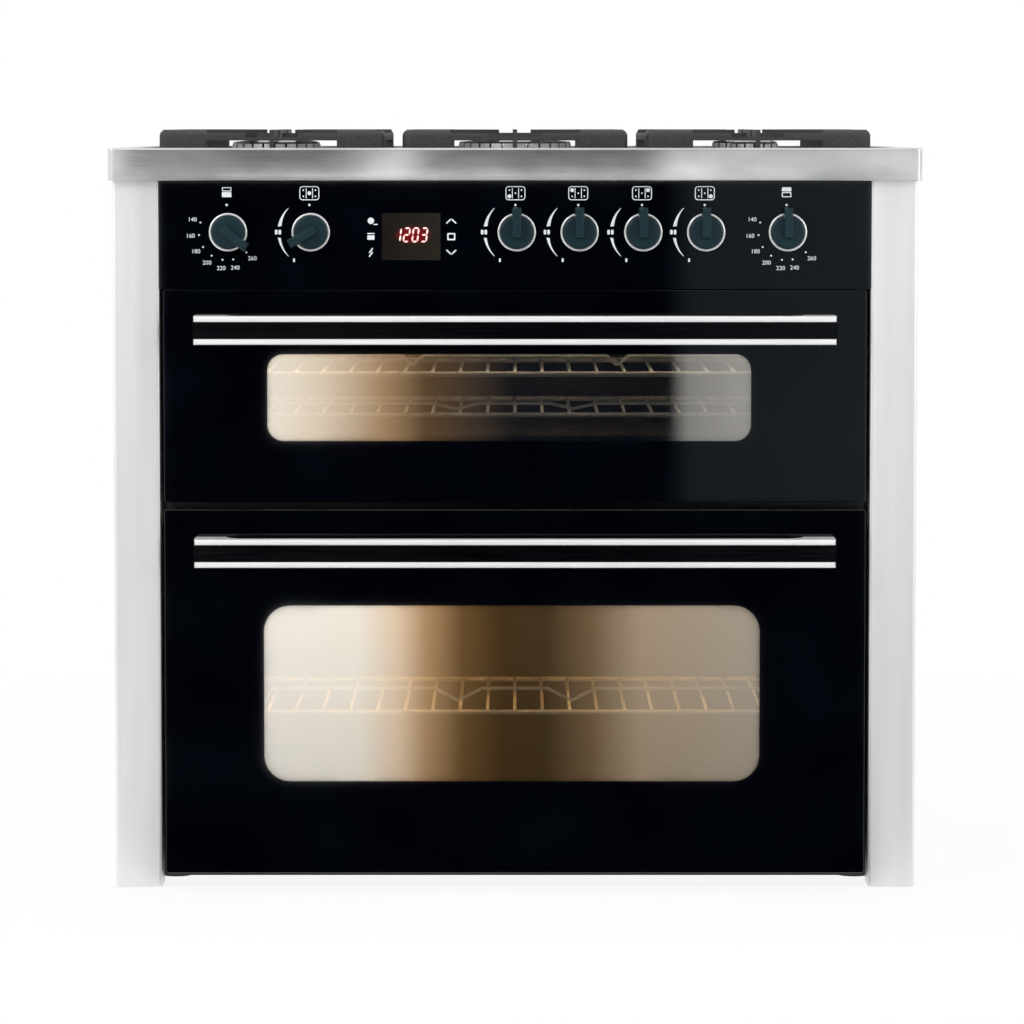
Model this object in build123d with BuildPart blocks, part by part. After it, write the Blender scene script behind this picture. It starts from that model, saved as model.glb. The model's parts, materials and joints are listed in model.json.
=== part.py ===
from build123d import *

import os
from math import atan2, cos, degrees, hypot, radians, sin

os.makedirs("parts", exist_ok=True)

# A free-standing gas cooker with five hob burners and two ovens, in mm.
# +Z is up and the front faces -Y. The origin is on the floor, under the middle of the cooker.

# Materials in sheet form
sheet = 1.5  # folded steel
glass = 5  # control panel and outer door glass
pane = 4  # inner door glass

# Widths
worktop_width = 900
side_overhang = 4  # worktop past each side panel
post_width = 52  # front flange of a side panel
rear_flange = 20  # rear flange of a side panel
door_side_gap = 4  # between a door and a post
panel_side_gap = 0.5  # between the control panel and a post

# Depths
handle_reach = 40  # handle ahead of the door glass
lip_reach = 12  # worktop lip ahead of the door glass
door_depth = 42  # glass front to the back of the door
seal_gap = 3  # between a shut door and the front frame
cavity_depth = 440
flue_space = 47  # between an oven's insulation and the back panel
back_recess = 30  # worktop past the back panel

# Heights, from the floor up
foot_gap = 2  # side panels above the floor
base_height = 8  # underside of the base pan
door_bottom = 17  # underside of the lower door
lower_door_height = 407
door_gap = 8  # between the two doors
upper_door_height = 236
panel_gap = 1  # above and below the control panel
panel_height = 119
worktop_lip = 36
well_depth = 8  # pressed well of the worktop
support_rise = 20  # pan supports above the worktop rim

# Ovens
cavity_width = 620
cavity_rise = 46  # oven floor above the door's lower edge, so an open door lies level with it
upper_cavity_head = 24  # oven roof below the top of its door
lower_cavity_head = 29
lagging = 20  # insulation round each oven
floor_plate_rise = 24
rack_wire = 3  # radius of a rack's outer wire
rack_bar = 2  # radius of a rack's cross wires
rack_setback = 25  # rack behind the oven mouth
rack_rear_gap = 60  # rack ahead of the oven's back wall
rack_side_gap = 7
ledge = 12  # runner standing in from the oven wall
ledge_height = 4
# Each rack: the top of its runners above the oven floor, the height of its guard wire over the rack, and
# the depth, the distance from the middle and the half width of the two dips in that wire
upper_racks = ((44, 10, 6, 66, 27), (90, 18, 12, 115, 12))
lower_racks = ((123, 24, 14, 64, 27),)

# Doors
pivot_in = 12  # hinge axis behind the glass front
pivot_up = 14  # hinge axis above the door's lower edge
liner_inset = 8  # liner inside the edge of the glass
liner_side_inset = 12
glass_corner = 3
upper_window = (537, 96.5)
lower_window = (552, 197)
upper_window_drop = 119.5  # window centre below the top of the door
lower_window_drop = 205.5
window_margin = 8  # liner cut-out past the printed window
pane_lap = 12  # inner glass past the liner cut-out
pin_radius = 3
pin_fit = 0.1
eye_radius = 5.5
bracket_width = 6
hinge_slot = 10
lug_width = 6
hinge_inset = 48  # hinge centre inside the edge of the liner

# Handles
handle_inset = 35.5  # end of the handle inside the edge of the door
handle_height = 31.5
handle_depth = 15
trim_height = 6.5
bar_setback = 1  # black face behind the front of the trims
bracket_length = 50  # handle bracket along the bar
upper_handle_drop = 43.5  # handle centre below the top of the door
lower_handle_drop = 46

# Control panel
knob_rise = 63  # knob centres above the panel's lower edge
knob_rows = (
    ("main_oven", -1, 76, 230),
    ("centre_burner", -1, 167.5, 119),
    ("front_left", 0, 2, 0),
    ("rear_left", 0, 71.5, 0),
    ("rear_right", 0, 142, 0),
    ("front_right", 0, 211.5, 0),
    ("top_oven", 1, -91.5, 0),
)  # name, which end of the panel it is measured from (0 is the middle), x from there,
# and the way the grip points at rest: degrees anticlockwise from the top
oven_knobs = ("main_oven", "top_oven")
ring_radius = 21.25
ring_bore = 18.5
ring_height = 5
knob_radius = 18
knob_gap = 4  # back of a knob ahead of the glass at rest
knob_press = 3
disc_height = 8
grip_width = 11
grip_ahead = 27.5
grip_behind = 7
grip_top = 24  # front of the grip ahead of the glass
spindle_radius = 4
spindle_gap = 2  # hole in the glass and the carrier past a spindle
running_gap = 0.3
display_size = (65, 52)
display_place = (-115, 58)
display_reveal = 4  # carrier's hole inside the edge of the lens
clock_nose_gap = 2  # clock's face inside the carrier's hole
clock_size = (92, 66)
clock_depth = 26

# Gas parts
rail_radius = 9
rail_bore = 7.5
rail_setback = 70  # rail behind the glass front
rail_overrun = 27  # rail past the first knob
inlet_inset = 46  # gas inlet inside the side of the body
rail_bend = 40
inlet_radius = 10.48  # half-inch pipe thread
inlet_length = 24
tap_radius = 12
tap_length = 36
tap_collar_radius = 8
tap_collar = 6

# Hob
well_side = 22
well_front = 40
well_rear = 60
well_corner = 25
support_gap = 20  # between two pan supports
support_side_gap = 31.5  # between the outer supports and the sides of the well
support_end_gap = 15
bar_width = 9
bar_height = 8
bar_drop = 4  # frame bars below the top of the corners
finger_width = 5
finger_height = 9
wing = 53  # length of a corner wing
wing_round = 10
wing_edge = 7  # rounded outer edge along the top of a wing
shoulder = 43  # raised stretch of a front or back bar beside a wing
shoulder_drop = 8.5  # middle of those bars below the top of the corners
burner_gap = 22  # ends of the straight fingers from the burner's centre
corner_burner_gap = 33  # ends of the slanting fingers
port_size = (2.4, 5)
burner_places = (
    ("centre_burner", 0, 0, 65, 28),
    ("front_left", -1, -1, 50, 24),
    ("rear_left", -1, 1, 38, 20),
    ("rear_right", 1, 1, 38, 20),
    ("front_right", 1, -1, 28, 16),
)  # name, column, row, head radius, flame ports

# Places worked out from the sizes above
body_width = worktop_width - 2 * side_overhang
opening_width = body_width - 2 * post_width
door_width = opening_width - 2 * door_side_gap
oven_depth = sheet + cavity_depth + sheet + lagging  # front frame to the back of the insulation
body_depth = door_depth + seal_gap + oven_depth + flue_space + 2 * sheet
worktop_depth = lip_reach + body_depth + back_recess
overall_depth = worktop_depth + handle_reach - lip_reach
back_edge = overall_depth / 2
face = handle_reach - overall_depth / 2  # plane of the posts and of the glass fronts
glass_back = face + glass
liner_back = face + door_depth
frame_front = liner_back + seal_gap
frame_back = frame_front + sheet
body_back = back_edge - back_recess
panel_back = body_back - sheet  # outer face of the back panel
worktop_middle = back_edge - worktop_depth / 2

lower_door_top = door_bottom + lower_door_height
upper_door_bottom = lower_door_top + door_gap
upper_door_top = upper_door_bottom + upper_door_height
panel_bottom = upper_door_top + panel_gap
panel_top = panel_bottom + panel_height
lip_bottom = panel_top + panel_gap
worktop_top = lip_bottom + worktop_lip
well_top = worktop_top - well_depth
support_top = worktop_top + support_rise
knob_height = panel_bottom + knob_rise
panel_width = opening_width - 2 * panel_side_gap
knob_places = [(name, end * panel_width / 2 + x, turn) for name, end, x, turn in knob_rows]
rail_start = knob_places[0][1] - rail_overrun
inlet_side = body_width / 2 - inlet_inset
upper_cavity_height = upper_door_height - cavity_rise - upper_cavity_head
lower_cavity_height = lower_door_height - cavity_rise - lower_cavity_head
ovens = (
    ("upper", upper_door_bottom + cavity_rise, upper_cavity_height, upper_racks),
    ("lower", door_bottom + cavity_rise, lower_cavity_height, lower_racks),
)  # name, floor, height and racks


def front_plane(y):
    """A plane at depth y that looks out of the front: its x is X and its y is Z."""
    return Plane.XZ.offset(-y)


def save(piece, label):
    """Label one finished piece and write it to its own file."""
    piece.label = label
    export_step(piece, f"parts/{label}.step")


# Side panels: one sheet folded into a post at the front and a flange at the back
panel_bend = 3
with BuildPart() as side_panel_right:
    with BuildSketch(Plane.XY.offset(foot_gap)):
        with BuildLine():
            FilletPolyline(
                (opening_width / 2, frame_back),
                (opening_width / 2, face),
                (body_width / 2, face),
                (body_width / 2, body_back),
                (body_width / 2 - rear_flange, body_back),
                radius=panel_bend,
            )
            offset(amount=sheet, side=Side.LEFT)
        make_face()
    extrude(amount=lip_bottom - foot_gap)
save(side_panel_right.part, "side_panel_right")

with BuildPart() as side_panel_left:
    mirror(side_panel_right.part, about=Plane.YZ)
save(side_panel_left.part, "side_panel_left")

# Base pan: a tray between the side panels, on four levelling feet
pan_front = frame_back
pan_width = body_width - 2 * sheet
pan_depth = panel_back - sheet - pan_front
pan_middle = pan_front + pan_depth / 2
pan_rim = 22
foot_inset = 60
stem_radius = 5
stem_fit = 0.2
foot_pitch = (pan_width - 2 * foot_inset, pan_depth - 2 * foot_inset)
with BuildPart() as base_pan:
    with BuildSketch(Plane.XY.offset(base_height)):
        with Locations((0, pan_middle)):
            Rectangle(pan_width, pan_depth)
    extrude(amount=pan_rim)
    offset(amount=-sheet, openings=base_pan.faces().sort_by(Axis.Z)[-1])
    with Locations((0, pan_middle, base_height)):
        with GridLocations(*foot_pitch, 2, 2):
            Hole(stem_radius + stem_fit, depth=2 * sheet)
save(base_pan.part, "base_pan")

foot_radius = 18
pad_height = 5
collar_radius = 9
stem_height = 12
with BuildPart() as foot:
    with BuildSketch(Plane.XZ):
        with BuildLine():
            Polyline(
                (0, 0),
                (foot_radius, 0),
                (foot_radius, pad_height / 2),
                (collar_radius, pad_height),
                (collar_radius, base_height),
                (stem_radius, base_height),
                (stem_radius, base_height + stem_height),
                (0, base_height + stem_height),
                close=True,
            )
        make_face()
    revolve(axis=Axis.Z)
with BuildPart() as levelling_feet:
    with Locations((0, pan_middle)):
        with GridLocations(*foot_pitch, 2, 2):
            add(foot.part)
save(levelling_feet.part, "levelling_feet")

# Back panel: a sheet inside the rear flanges, with vent slots, the gas inlet and the cable gland
vent_size = (60, 6)
vent_pitch = (90, 16)
vent_count = (7, 5)
vent_drop = 90  # middle of the vents below the top of the panel
gland_inset = 86  # cable gland inside the side of the body
gland_place = (gland_inset - body_width / 2, 70)
gland_radius = 8
gland_flange = 14
gland_seat = 3
gland_nose = 18
gland_taper = 9
hole_gap = 0.5
panel_edge = panel_bend  # keeps the panel clear of the folds beside it
with BuildPart() as back_panel:
    with BuildSketch(front_plane(panel_back)):
        with Locations((0, (base_height + lip_bottom) / 2)):
            Rectangle(pan_width - 2 * panel_edge, lip_bottom - base_height)
        with Locations((0, lip_bottom - vent_drop)):
            with GridLocations(*vent_pitch, *vent_count):
                SlotOverall(*vent_size, mode=Mode.SUBTRACT)
        with Locations((inlet_side, knob_height)):
            Circle(rail_radius + hole_gap, mode=Mode.SUBTRACT)
        with Locations(gland_place):
            Circle(gland_radius + hole_gap, mode=Mode.SUBTRACT)
    extrude(amount=sheet)
save(back_panel.part, "back_panel")

with BuildPart() as cable_gland:
    with BuildSketch(front_plane(panel_back)):
        with Locations(gland_place):
            Circle(gland_flange)
    extrude(amount=-gland_seat)
    with BuildSketch(front_plane(panel_back + gland_seat)):
        with Locations(gland_place):
            Circle(gland_radius)
    extrude(amount=-gland_nose, taper=gland_taper)
    with BuildSketch(front_plane(panel_back)):
        with Locations(gland_place):
            Circle(gland_radius)
    extrude(amount=gland_nose / 2)
save(cable_gland.part, "cable_gland")

# Worktop: one pressed sheet with a deep lip, turned in at its lower edge, and a well for the burners
worktop_corner = 6
worktop_edge = 2.5
lip_turn = 18  # lower edge turned in over the side panels
well_width = worktop_width - 2 * well_side
well_length = worktop_depth - well_front - well_rear
well_middle = back_edge - well_rear - well_length / 2
support_width = (well_width - 2 * support_side_gap - 2 * support_gap) / 3
support_pitch = support_width + support_gap
support_depth = well_length - 2 * support_end_gap
row_pitch = (support_depth - bar_width) / 4  # burner rows in front of and behind the middle
burners = [
    (column * support_pitch, well_middle + row * row_pitch, radius, ports)
    for name, column, row, radius, ports in burner_places
]
cup_gap = 5  # burner hole inside the burner head
spark_radius = 3
spark_offset = 9  # electrode outside the burner head
spark_way = radians(112)
sparks = [
    (x + (radius + spark_offset) * cos(spark_way), y + (radius + spark_offset) * sin(spark_way))
    for x, y, radius, ports in burners
]
with BuildPart() as worktop:
    with BuildSketch(Plane.XY.offset(lip_bottom)):
        with Locations((0, worktop_middle)):
            RectangleRounded(worktop_width, worktop_depth, worktop_corner)
    extrude(amount=worktop_lip)
    fillet(worktop.faces().sort_by(Axis.Z)[-1].edges(), worktop_edge)
    with BuildSketch(Plane.XY.offset(lip_bottom)):
        with Locations((0, worktop_middle)):
            RectangleRounded(worktop_width - 2 * sheet, worktop_depth - 2 * sheet, worktop_corner - sheet)
    extrude(amount=worktop_lip - sheet, mode=Mode.SUBTRACT)
    with BuildSketch(Plane.XY.offset(lip_bottom)):
        with Locations((0, worktop_middle)):
            RectangleRounded(worktop_width, worktop_depth, worktop_corner)
            Rectangle(worktop_width - 2 * lip_turn, worktop_depth - 2 * lip_turn, mode=Mode.SUBTRACT)
    extrude(amount=sheet)
    with BuildSketch(Plane.XY.offset(well_top - sheet)):
        with Locations((0, well_middle)):
            RectangleRounded(well_width + 2 * sheet, well_length + 2 * sheet, well_corner + sheet)
    extrude(amount=well_depth)
    with BuildSketch(Plane.XY.offset(well_top)):
        with Locations((0, well_middle)):
            RectangleRounded(well_width, well_length, well_corner)
    extrude(amount=well_depth, mode=Mode.SUBTRACT)
    with BuildSketch(Plane.XY.offset(well_top)):
        for x, y, radius, ports in burners:
            with Locations((x, y)):
                Circle(radius - cup_gap)
        with Locations(*sparks):
            Circle(spark_radius + hole_gap)
    extrude(amount=-sheet, mode=Mode.SUBTRACT)
save(worktop.part, "worktop")

# Hob burners: a cup hung in the worktop, a slotted head on it, a domed cap and a spark electrode
cup_depth = 32
cup_wall = 2
cup_lip = 2  # thickness of the cup's flange on the worktop
cup_lap = 5  # flange past the burner head
head_height = 10
head_wall = 6
cap_height = 5
cap_edge = 2
cap_inset = 1
cup_side_gap = 1
with BuildPart() as burner_cups:
    for x, y, radius, ports in burners:
        shell = radius - cup_gap - cup_side_gap
        with BuildSketch(Plane.XY.offset(well_top)):
            with Locations((x, y)):
                Circle(radius + cup_lap)
        extrude(amount=cup_lip)
        with BuildSketch(Plane.XY.offset(well_top)):
            with Locations((x, y)):
                Circle(shell)
        extrude(amount=-cup_depth)
        with BuildSketch(Plane.XY.offset(well_top + cup_lip)):
            with Locations((x, y)):
                Circle(shell - cup_wall)
        extrude(amount=cup_wall - cup_depth - cup_lip, mode=Mode.SUBTRACT)
save(burner_cups.part, "burner_cups")

head_base = well_top + cup_lip
with BuildPart() as burner_heads:
    for x, y, radius, ports in burners:
        with BuildSketch(Plane.XY.offset(head_base)):
            with Locations((x, y)):
                Circle(radius)
                Circle(radius - head_wall, mode=Mode.SUBTRACT)
        extrude(amount=head_height)
        with BuildSketch(Plane.XY.offset(head_base + head_height)):
            with Locations((x, y)):
                with PolarLocations(radius - head_wall / 2, ports):
                    Rectangle(2 * head_wall, port_size[0])
        extrude(amount=-port_size[1], mode=Mode.SUBTRACT)
save(burner_heads.part, "burner_heads")

cap_base = head_base + head_height
with BuildPart() as burner_caps:
    for x, y, radius, ports in burners:
        dome = ((radius - cap_inset) ** 2 + (cap_height - cap_edge) ** 2) / (2 * (cap_height - cap_edge))
        with BuildSketch(Plane((x, y, cap_base), x_dir=(1, 0, 0), z_dir=(0, -1, 0))):
            with BuildLine():
                Polyline((0, cap_height), (0, 0), (radius - cap_inset, 0), (radius - cap_inset, cap_edge))
                RadiusArc((radius - cap_inset, cap_edge), (0, cap_height), -dome)
            make_face()
        revolve(axis=Axis((x, y, 0), (0, 0, 1)))
save(burner_caps.part, "burner_caps")

spark_height = 9
spark_tip = 1
spark_tip_height = 4
spark_depth = 20
spark_flange = 1.5
spark_lap = 1  # flange past the electrode
with BuildPart() as spark_electrodes:
    with BuildSketch(Plane.XY.offset(well_top - spark_depth)):
        with Locations(*sparks):
            Circle(spark_radius)
    extrude(amount=spark_depth + spark_height)
    with BuildSketch(Plane.XY.offset(well_top)):
        with Locations(*sparks):
            Circle(spark_radius + spark_lap)
    extrude(amount=spark_flange)
    with BuildSketch(Plane.XY.offset(well_top + spark_height)):
        with Locations(*sparks):
            Circle(spark_tip)
    extrude(amount=spark_tip_height)
save(spark_electrodes.part, "spark_electrodes")

# Pan supports: cast frames on tall corner wings, with fingers that point at each burner
half_width = support_width / 2 - bar_width
half_depth = support_depth / 2 - bar_width
cell_depth = (half_depth - bar_width / 2) / 2  # half of a cell that holds one of two burners
wok_cell = 150  # half of the cell round the middle burner
support_height = support_top - well_top
bar_top = support_top - bar_drop
support_layouts = (
    ("left", -1, (0,), (-row_pitch, row_pitch), cell_depth),
    ("centre", 0, (-wok_cell - bar_width / 2, wok_cell + bar_width / 2), (0,), wok_cell),
    ("right", 1, (0,), (-row_pitch, row_pitch), cell_depth),
)  # name, column, cross bars, burner rows, half depth of a cell
for name, column, cross_bars, rows, reach in support_layouts:
    middle = (column * support_pitch, well_middle)
    with BuildPart() as support:
        with BuildSketch(Plane.XY.offset(well_top)):
            with Locations(middle):
                RectangleRounded(support_width, support_depth, wing_round)
                Rectangle(2 * half_width, 2 * half_depth, mode=Mode.SUBTRACT)
        extrude(amount=support_height)
        fillet(support.faces().sort_by(Axis.Z)[-1].outer_wire().edges(), wing_edge)
        for low, high in ((well_top, bar_top - bar_height), (bar_top, support_top)):
            with BuildSketch(Plane.XY.offset(low)):
                with Locations(middle):
                    Rectangle(support_width - 2 * wing, support_depth + bar_width)
                    Rectangle(support_width + bar_width, support_depth - 2 * wing)
            extrude(amount=high - low, mode=Mode.SUBTRACT)
        with BuildSketch(Plane.XY.offset(support_top - shoulder_drop)):
            with Locations(middle):
                with GridLocations(1, support_depth - bar_width, 1, 2):
                    Rectangle(support_width - 2 * (wing + shoulder), 2 * bar_width)
        extrude(amount=shoulder_drop, mode=Mode.SUBTRACT)
        with BuildSketch(Plane.XY.offset(bar_top - bar_height)):
            for cross_bar in cross_bars:
                with Locations((middle[0], well_middle + cross_bar)):
                    Rectangle(2 * half_width, bar_width)
        extrude(amount=bar_height)
        with BuildSketch(Plane.XY.offset(support_top - finger_height)):
            for row in rows:
                spread = degrees(atan2(reach, half_width))
                corner = hypot(reach, half_width) + bar_width / 2
                slants = (spread, 180 - spread, 180 + spread, -spread)
                fingers = [(way, corner_burner_gap, corner) for way in slants]
                fingers += [(way, burner_gap, half_width + bar_width) for way in (0, 180)]
                fingers += [(way, burner_gap, reach + bar_width) for way in (90, 270)]
                for way, start, end in fingers:
                    with Locations(Location((middle[0], well_middle + row), way)):
                        with Locations(((start + end) / 2, 0)):
                            Rectangle(end - start, finger_width)
        extrude(amount=finger_height)
        with BuildSketch(Plane.XY.offset(well_top)):
            for end in (-1, 1):
                with Locations((middle[0], well_middle + end * (half_depth + bar_width / 2))):
                    Rectangle(finger_width, bar_width)
        extrude(amount=support_height)
    save(support.part, f"pan_support_{name}")

# Front frame: the plate with the two oven mouths that the doors shut on
mouth_corner = 12
with BuildPart() as front_frame:
    with BuildSketch(front_plane(frame_back)):
        with Locations((0, (base_height + panel_bottom) / 2)):
            Rectangle(opening_width, panel_bottom - base_height)
        for name, floor, height, racks in ovens:
            with Locations((0, floor + height / 2)):
                RectangleRounded(cavity_width, height, mouth_corner, mode=Mode.SUBTRACT)
    extrude(amount=sheet)
save(front_frame.part, "front_frame")

# Ovens: a folded box behind each mouth with runners for the racks and the floor plate
cavity_back = frame_back + cavity_depth  # inner face of an oven's back wall
rack_depth = cavity_depth - rack_setback - rack_rear_gap
runner_length = rack_setback + rack_depth + rack_setback / 2
jacket_width = cavity_width + 2 * (sheet + lagging)
with BuildPart() as insulation:
    for name, floor, height, racks in ovens:
        with BuildSketch(front_plane(frame_back)):
            with Locations((0, floor + height / 2)):
                RectangleRounded(jacket_width, height + 2 * (sheet + lagging), mouth_corner + lagging)
        extrude(amount=-(cavity_depth + sheet + lagging))
        with BuildSketch(front_plane(frame_back)):
            with Locations((0, floor + height / 2)):
                RectangleRounded(cavity_width + 2 * sheet, height + 2 * sheet, mouth_corner + sheet)
        extrude(amount=-(cavity_depth + sheet), mode=Mode.SUBTRACT)
save(insulation.part, "insulation")

for name, floor, height, racks in ovens:
    with BuildPart() as cavity:
        with BuildSketch(front_plane(frame_back)):
            with Locations((0, floor + height / 2)):
                RectangleRounded(cavity_width + 2 * sheet, height + 2 * sheet, mouth_corner + sheet)
        extrude(amount=-(cavity_depth + sheet))
        with BuildSketch(front_plane(frame_back)):
            with Locations((0, floor + height / 2)):
                RectangleRounded(cavity_width, height, mouth_corner)
        extrude(amount=-cavity_depth, mode=Mode.SUBTRACT)
        with BuildSketch(front_plane(frame_back)):
            for rise in (floor_plate_rise, *(rack[0] for rack in racks)):
                for side in (-1, 1):
                    with Locations((side * (cavity_width - ledge) / 2, floor + rise - ledge_height / 2)):
                        Rectangle(ledge + sheet, ledge_height)
        extrude(amount=-runner_length)
    save(cavity.part, f"{name}_cavity")

# Oven floor plates, slotted along the sides so that the flames' heat comes up
plate_side_gap = 3
plate_depth = runner_length - 2 * plate_side_gap
plate_slot = (70, 8)
plate_slot_inset = 70  # slots inside the oven walls
plate_slot_pitch = 90
with BuildPart() as oven_floor_plates:
    for name, floor, height, racks in ovens:
        with BuildSketch(Plane.XY.offset(floor + floor_plate_rise)):
            with Locations((0, frame_back + plate_side_gap + plate_depth / 2)):
                Rectangle(cavity_width - 2 * plate_side_gap, plate_depth)
                with GridLocations(cavity_width - 2 * plate_slot_inset, plate_slot_pitch, 2, 4):
                    SlotOverall(*plate_slot, rotation=90, mode=Mode.SUBTRACT)
        extrude(amount=sheet)
save(oven_floor_plates.part, "oven_floor_plates")

# Wire racks: a bent outer wire, cross wires from front to back, and a guard wire with two dips over the front
rack_width = cavity_width - 2 * rack_side_gap
rack_front = frame_back + rack_setback
rack_corner = 14
bar_count = 19
bar_inset = 24  # outermost cross wires inside the edge of the rack
bar_pitch = (rack_width - 2 * bar_inset) / (bar_count - 1)
guard_wire = 1.6  # half thickness of the guard wire
guard_bend = 5
guard_lean = 10  # slope of the guard wire's ends
guard_inset = 18  # ends of the guard wire inside the edge of the rack
seat_gap = 0.1  # rack above its runners
rim_side = rack_width / 2 - rack_wire
rim_front = rack_front + rack_wire
rim_back = rack_front + rack_depth - rack_wire
guard_end = rack_width / 2 - guard_inset
with BuildPart() as oven_racks:
    for name, floor, height, racks in ovens:
        for rise, guard_rise, dip_depth, dip_place, dip_half in racks:
            level = floor + rise + seat_gap + rack_wire  # middle of the outer wire
            with BuildLine(Plane.XY.offset(level)) as rim:
                FilletPolyline(
                    (rim_side, rim_front),
                    (rim_side, rim_back),
                    (-rim_side, rim_back),
                    (-rim_side, rim_front),
                    radius=rack_corner,
                    close=True,
                )
            with BuildSketch(Plane(rim.line @ 0, z_dir=rim.line % 0)):
                Circle(rack_wire)
            sweep()
            with BuildSketch(front_plane(rim_front)):
                with Locations((0, level + rack_wire - rack_bar)):
                    with GridLocations(bar_pitch, 1, bar_count, 1):
                        RegularPolygon(rack_bar, 6)
            extrude(amount=rim_front - rim_back)
            guard_top = level + rack_wire + guard_rise
            with BuildSketch(front_plane(rim_front + rack_wire)):
                with BuildLine():
                    FilletPolyline(
                        (-guard_end, level),
                        (guard_lean - guard_end, guard_top),
                        (-dip_place - dip_half, guard_top),
                        (-dip_place, guard_top - dip_depth),
                        (dip_half - dip_place, guard_top),
                        (dip_place - dip_half, guard_top),
                        (dip_place, guard_top - dip_depth),
                        (dip_place + dip_half, guard_top),
                        (guard_end - guard_lean, guard_top),
                        (guard_end, level),
                        radius=guard_bend,
                    )
                    offset(amount=guard_wire, side=Side.BOTH)
                make_face()
            extrude(amount=2 * guard_wire)
save(oven_racks.part, "oven_racks")

# Gas oven burners: one under each floor plate and a grill burner under the lower oven's roof
tube_radius = 7
tube_span = 300
tube_front = 70
tube_bend = 40
grill_drop = 24
with BuildPart() as oven_burners:
    tube_heights = [floor + floor_plate_rise / 2 for name, floor, height, racks in ovens]
    tube_heights.append(ovens[1][1] + ovens[1][2] - grill_drop)
    for level in tube_heights:
        with BuildLine(Plane.XY.offset(level)):
            FilletPolyline(
                (-tube_span / 2, cavity_back),
                (-tube_span / 2, frame_back + tube_front),
                (tube_span / 2, frame_back + tube_front),
                (tube_span / 2, cavity_back),
                radius=tube_bend,
            )
        with BuildSketch(Plane((-tube_span / 2, cavity_back, level), x_dir=(1, 0, 0), z_dir=(0, -1, 0))):
            Circle(tube_radius)
        sweep()
save(oven_burners.part, "oven_burners")

# Oven lamp covers: glass domes on the back walls
lamp_radius = 22
lamp_depth = 14
lamp_round = 8
lamp_inset = 80  # lamps inside the oven's right wall
lamp_drop = 40
with BuildPart() as oven_lamps:
    with BuildSketch(front_plane(cavity_back)):
        for name, floor, height, racks in ovens:
            with Locations((cavity_width / 2 - lamp_inset, floor + height - lamp_drop)):
                Circle(lamp_radius)
    extrude(amount=lamp_depth)
    fillet(oven_lamps.edges().filter_by(GeomType.CIRCLE).group_by(Axis.Y)[0], lamp_round)
save(oven_lamps.part, "oven_lamps")

# Door seals: a soft ring round each mouth
seal_inset = 3
seal_width = 9
seal_edge = 1
with BuildPart() as door_seals:
    with BuildSketch(front_plane(frame_front)):
        for name, floor, height, racks in ovens:
            with Locations((0, floor + height / 2)):
                RectangleRounded(
                    cavity_width + 2 * (seal_inset + seal_width),
                    height + 2 * (seal_inset + seal_width),
                    mouth_corner + seal_inset + seal_width,
                )
                RectangleRounded(
                    cavity_width + 2 * seal_inset,
                    height + 2 * seal_inset,
                    mouth_corner + seal_inset,
                    mode=Mode.SUBTRACT,
                )
    extrude(amount=seal_gap - running_gap)
    chamfer(door_seals.faces().group_by(Axis.Y)[0].edges(), seal_edge)
save(door_seals.part, "door_seals")

# Control panel: printed glass on a folded carrier between the posts
knob_points = [(x, knob_height) for name, x, turn in knob_places]
display_point = (display_place[0], panel_bottom + display_place[1])
spindle_hole = spindle_radius + spindle_gap
carrier_back = glass_back + sheet
with BuildPart() as control_panel:
    with BuildSketch(front_plane(glass_back)):
        with Locations((0, (panel_bottom + panel_top) / 2)):
            Rectangle(panel_width, panel_height)
        with Locations(*knob_points):
            Circle(spindle_hole, mode=Mode.SUBTRACT)
        with Locations(display_point):
            Rectangle(*display_size, mode=Mode.SUBTRACT)
    extrude(amount=glass)
save(control_panel.part, "control_panel")

with BuildPart() as panel_carrier:
    with BuildSketch(Plane.YZ.offset(-opening_width / 2)):
        with BuildLine():
            Polyline(
                (frame_back, panel_bottom),
                (glass_back, panel_bottom),
                (glass_back, panel_top),
                (frame_back, panel_top),
            )
            offset(amount=sheet, side=Side.RIGHT, kind=Kind.INTERSECTION)
        make_face()
    extrude(amount=opening_width)
    with BuildSketch(front_plane(carrier_back)):
        with Locations(*knob_points):
            Circle(spindle_hole)
        with Locations(display_point):
            Rectangle(*(side - 2 * display_reveal for side in display_size))
    extrude(amount=sheet, mode=Mode.SUBTRACT)
save(panel_carrier.part, "panel_carrier")

with BuildPart() as display_lens:
    with BuildSketch(front_plane(glass_back)):
        with Locations(display_point):
            Rectangle(*display_size)
    extrude(amount=glass)
save(display_lens.part, "display_lens")

with BuildPart() as clock_module:
    with BuildSketch(front_plane(carrier_back)):
        with Locations(display_point):
            Rectangle(*clock_size)
    extrude(amount=-clock_depth)
    with BuildSketch(front_plane(carrier_back)):
        with Locations(display_point):
            Rectangle(*(side - 2 * (display_reveal + clock_nose_gap) for side in display_size))
    extrude(amount=sheet)
save(clock_module.part, "clock_module")

# Knob rings, fixed to the glass
ring_round = 1.2
with BuildPart() as knob_rings:
    with BuildSketch(front_plane(face)):
        with Locations(*knob_points):
            Circle(ring_radius)
            Circle(ring_bore, mode=Mode.SUBTRACT)
    extrude(amount=ring_height)
    fillet(knob_rings.faces().group_by(Axis.Y)[0].edges(), ring_round)
save(knob_rings.part, "knob_rings")

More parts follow.
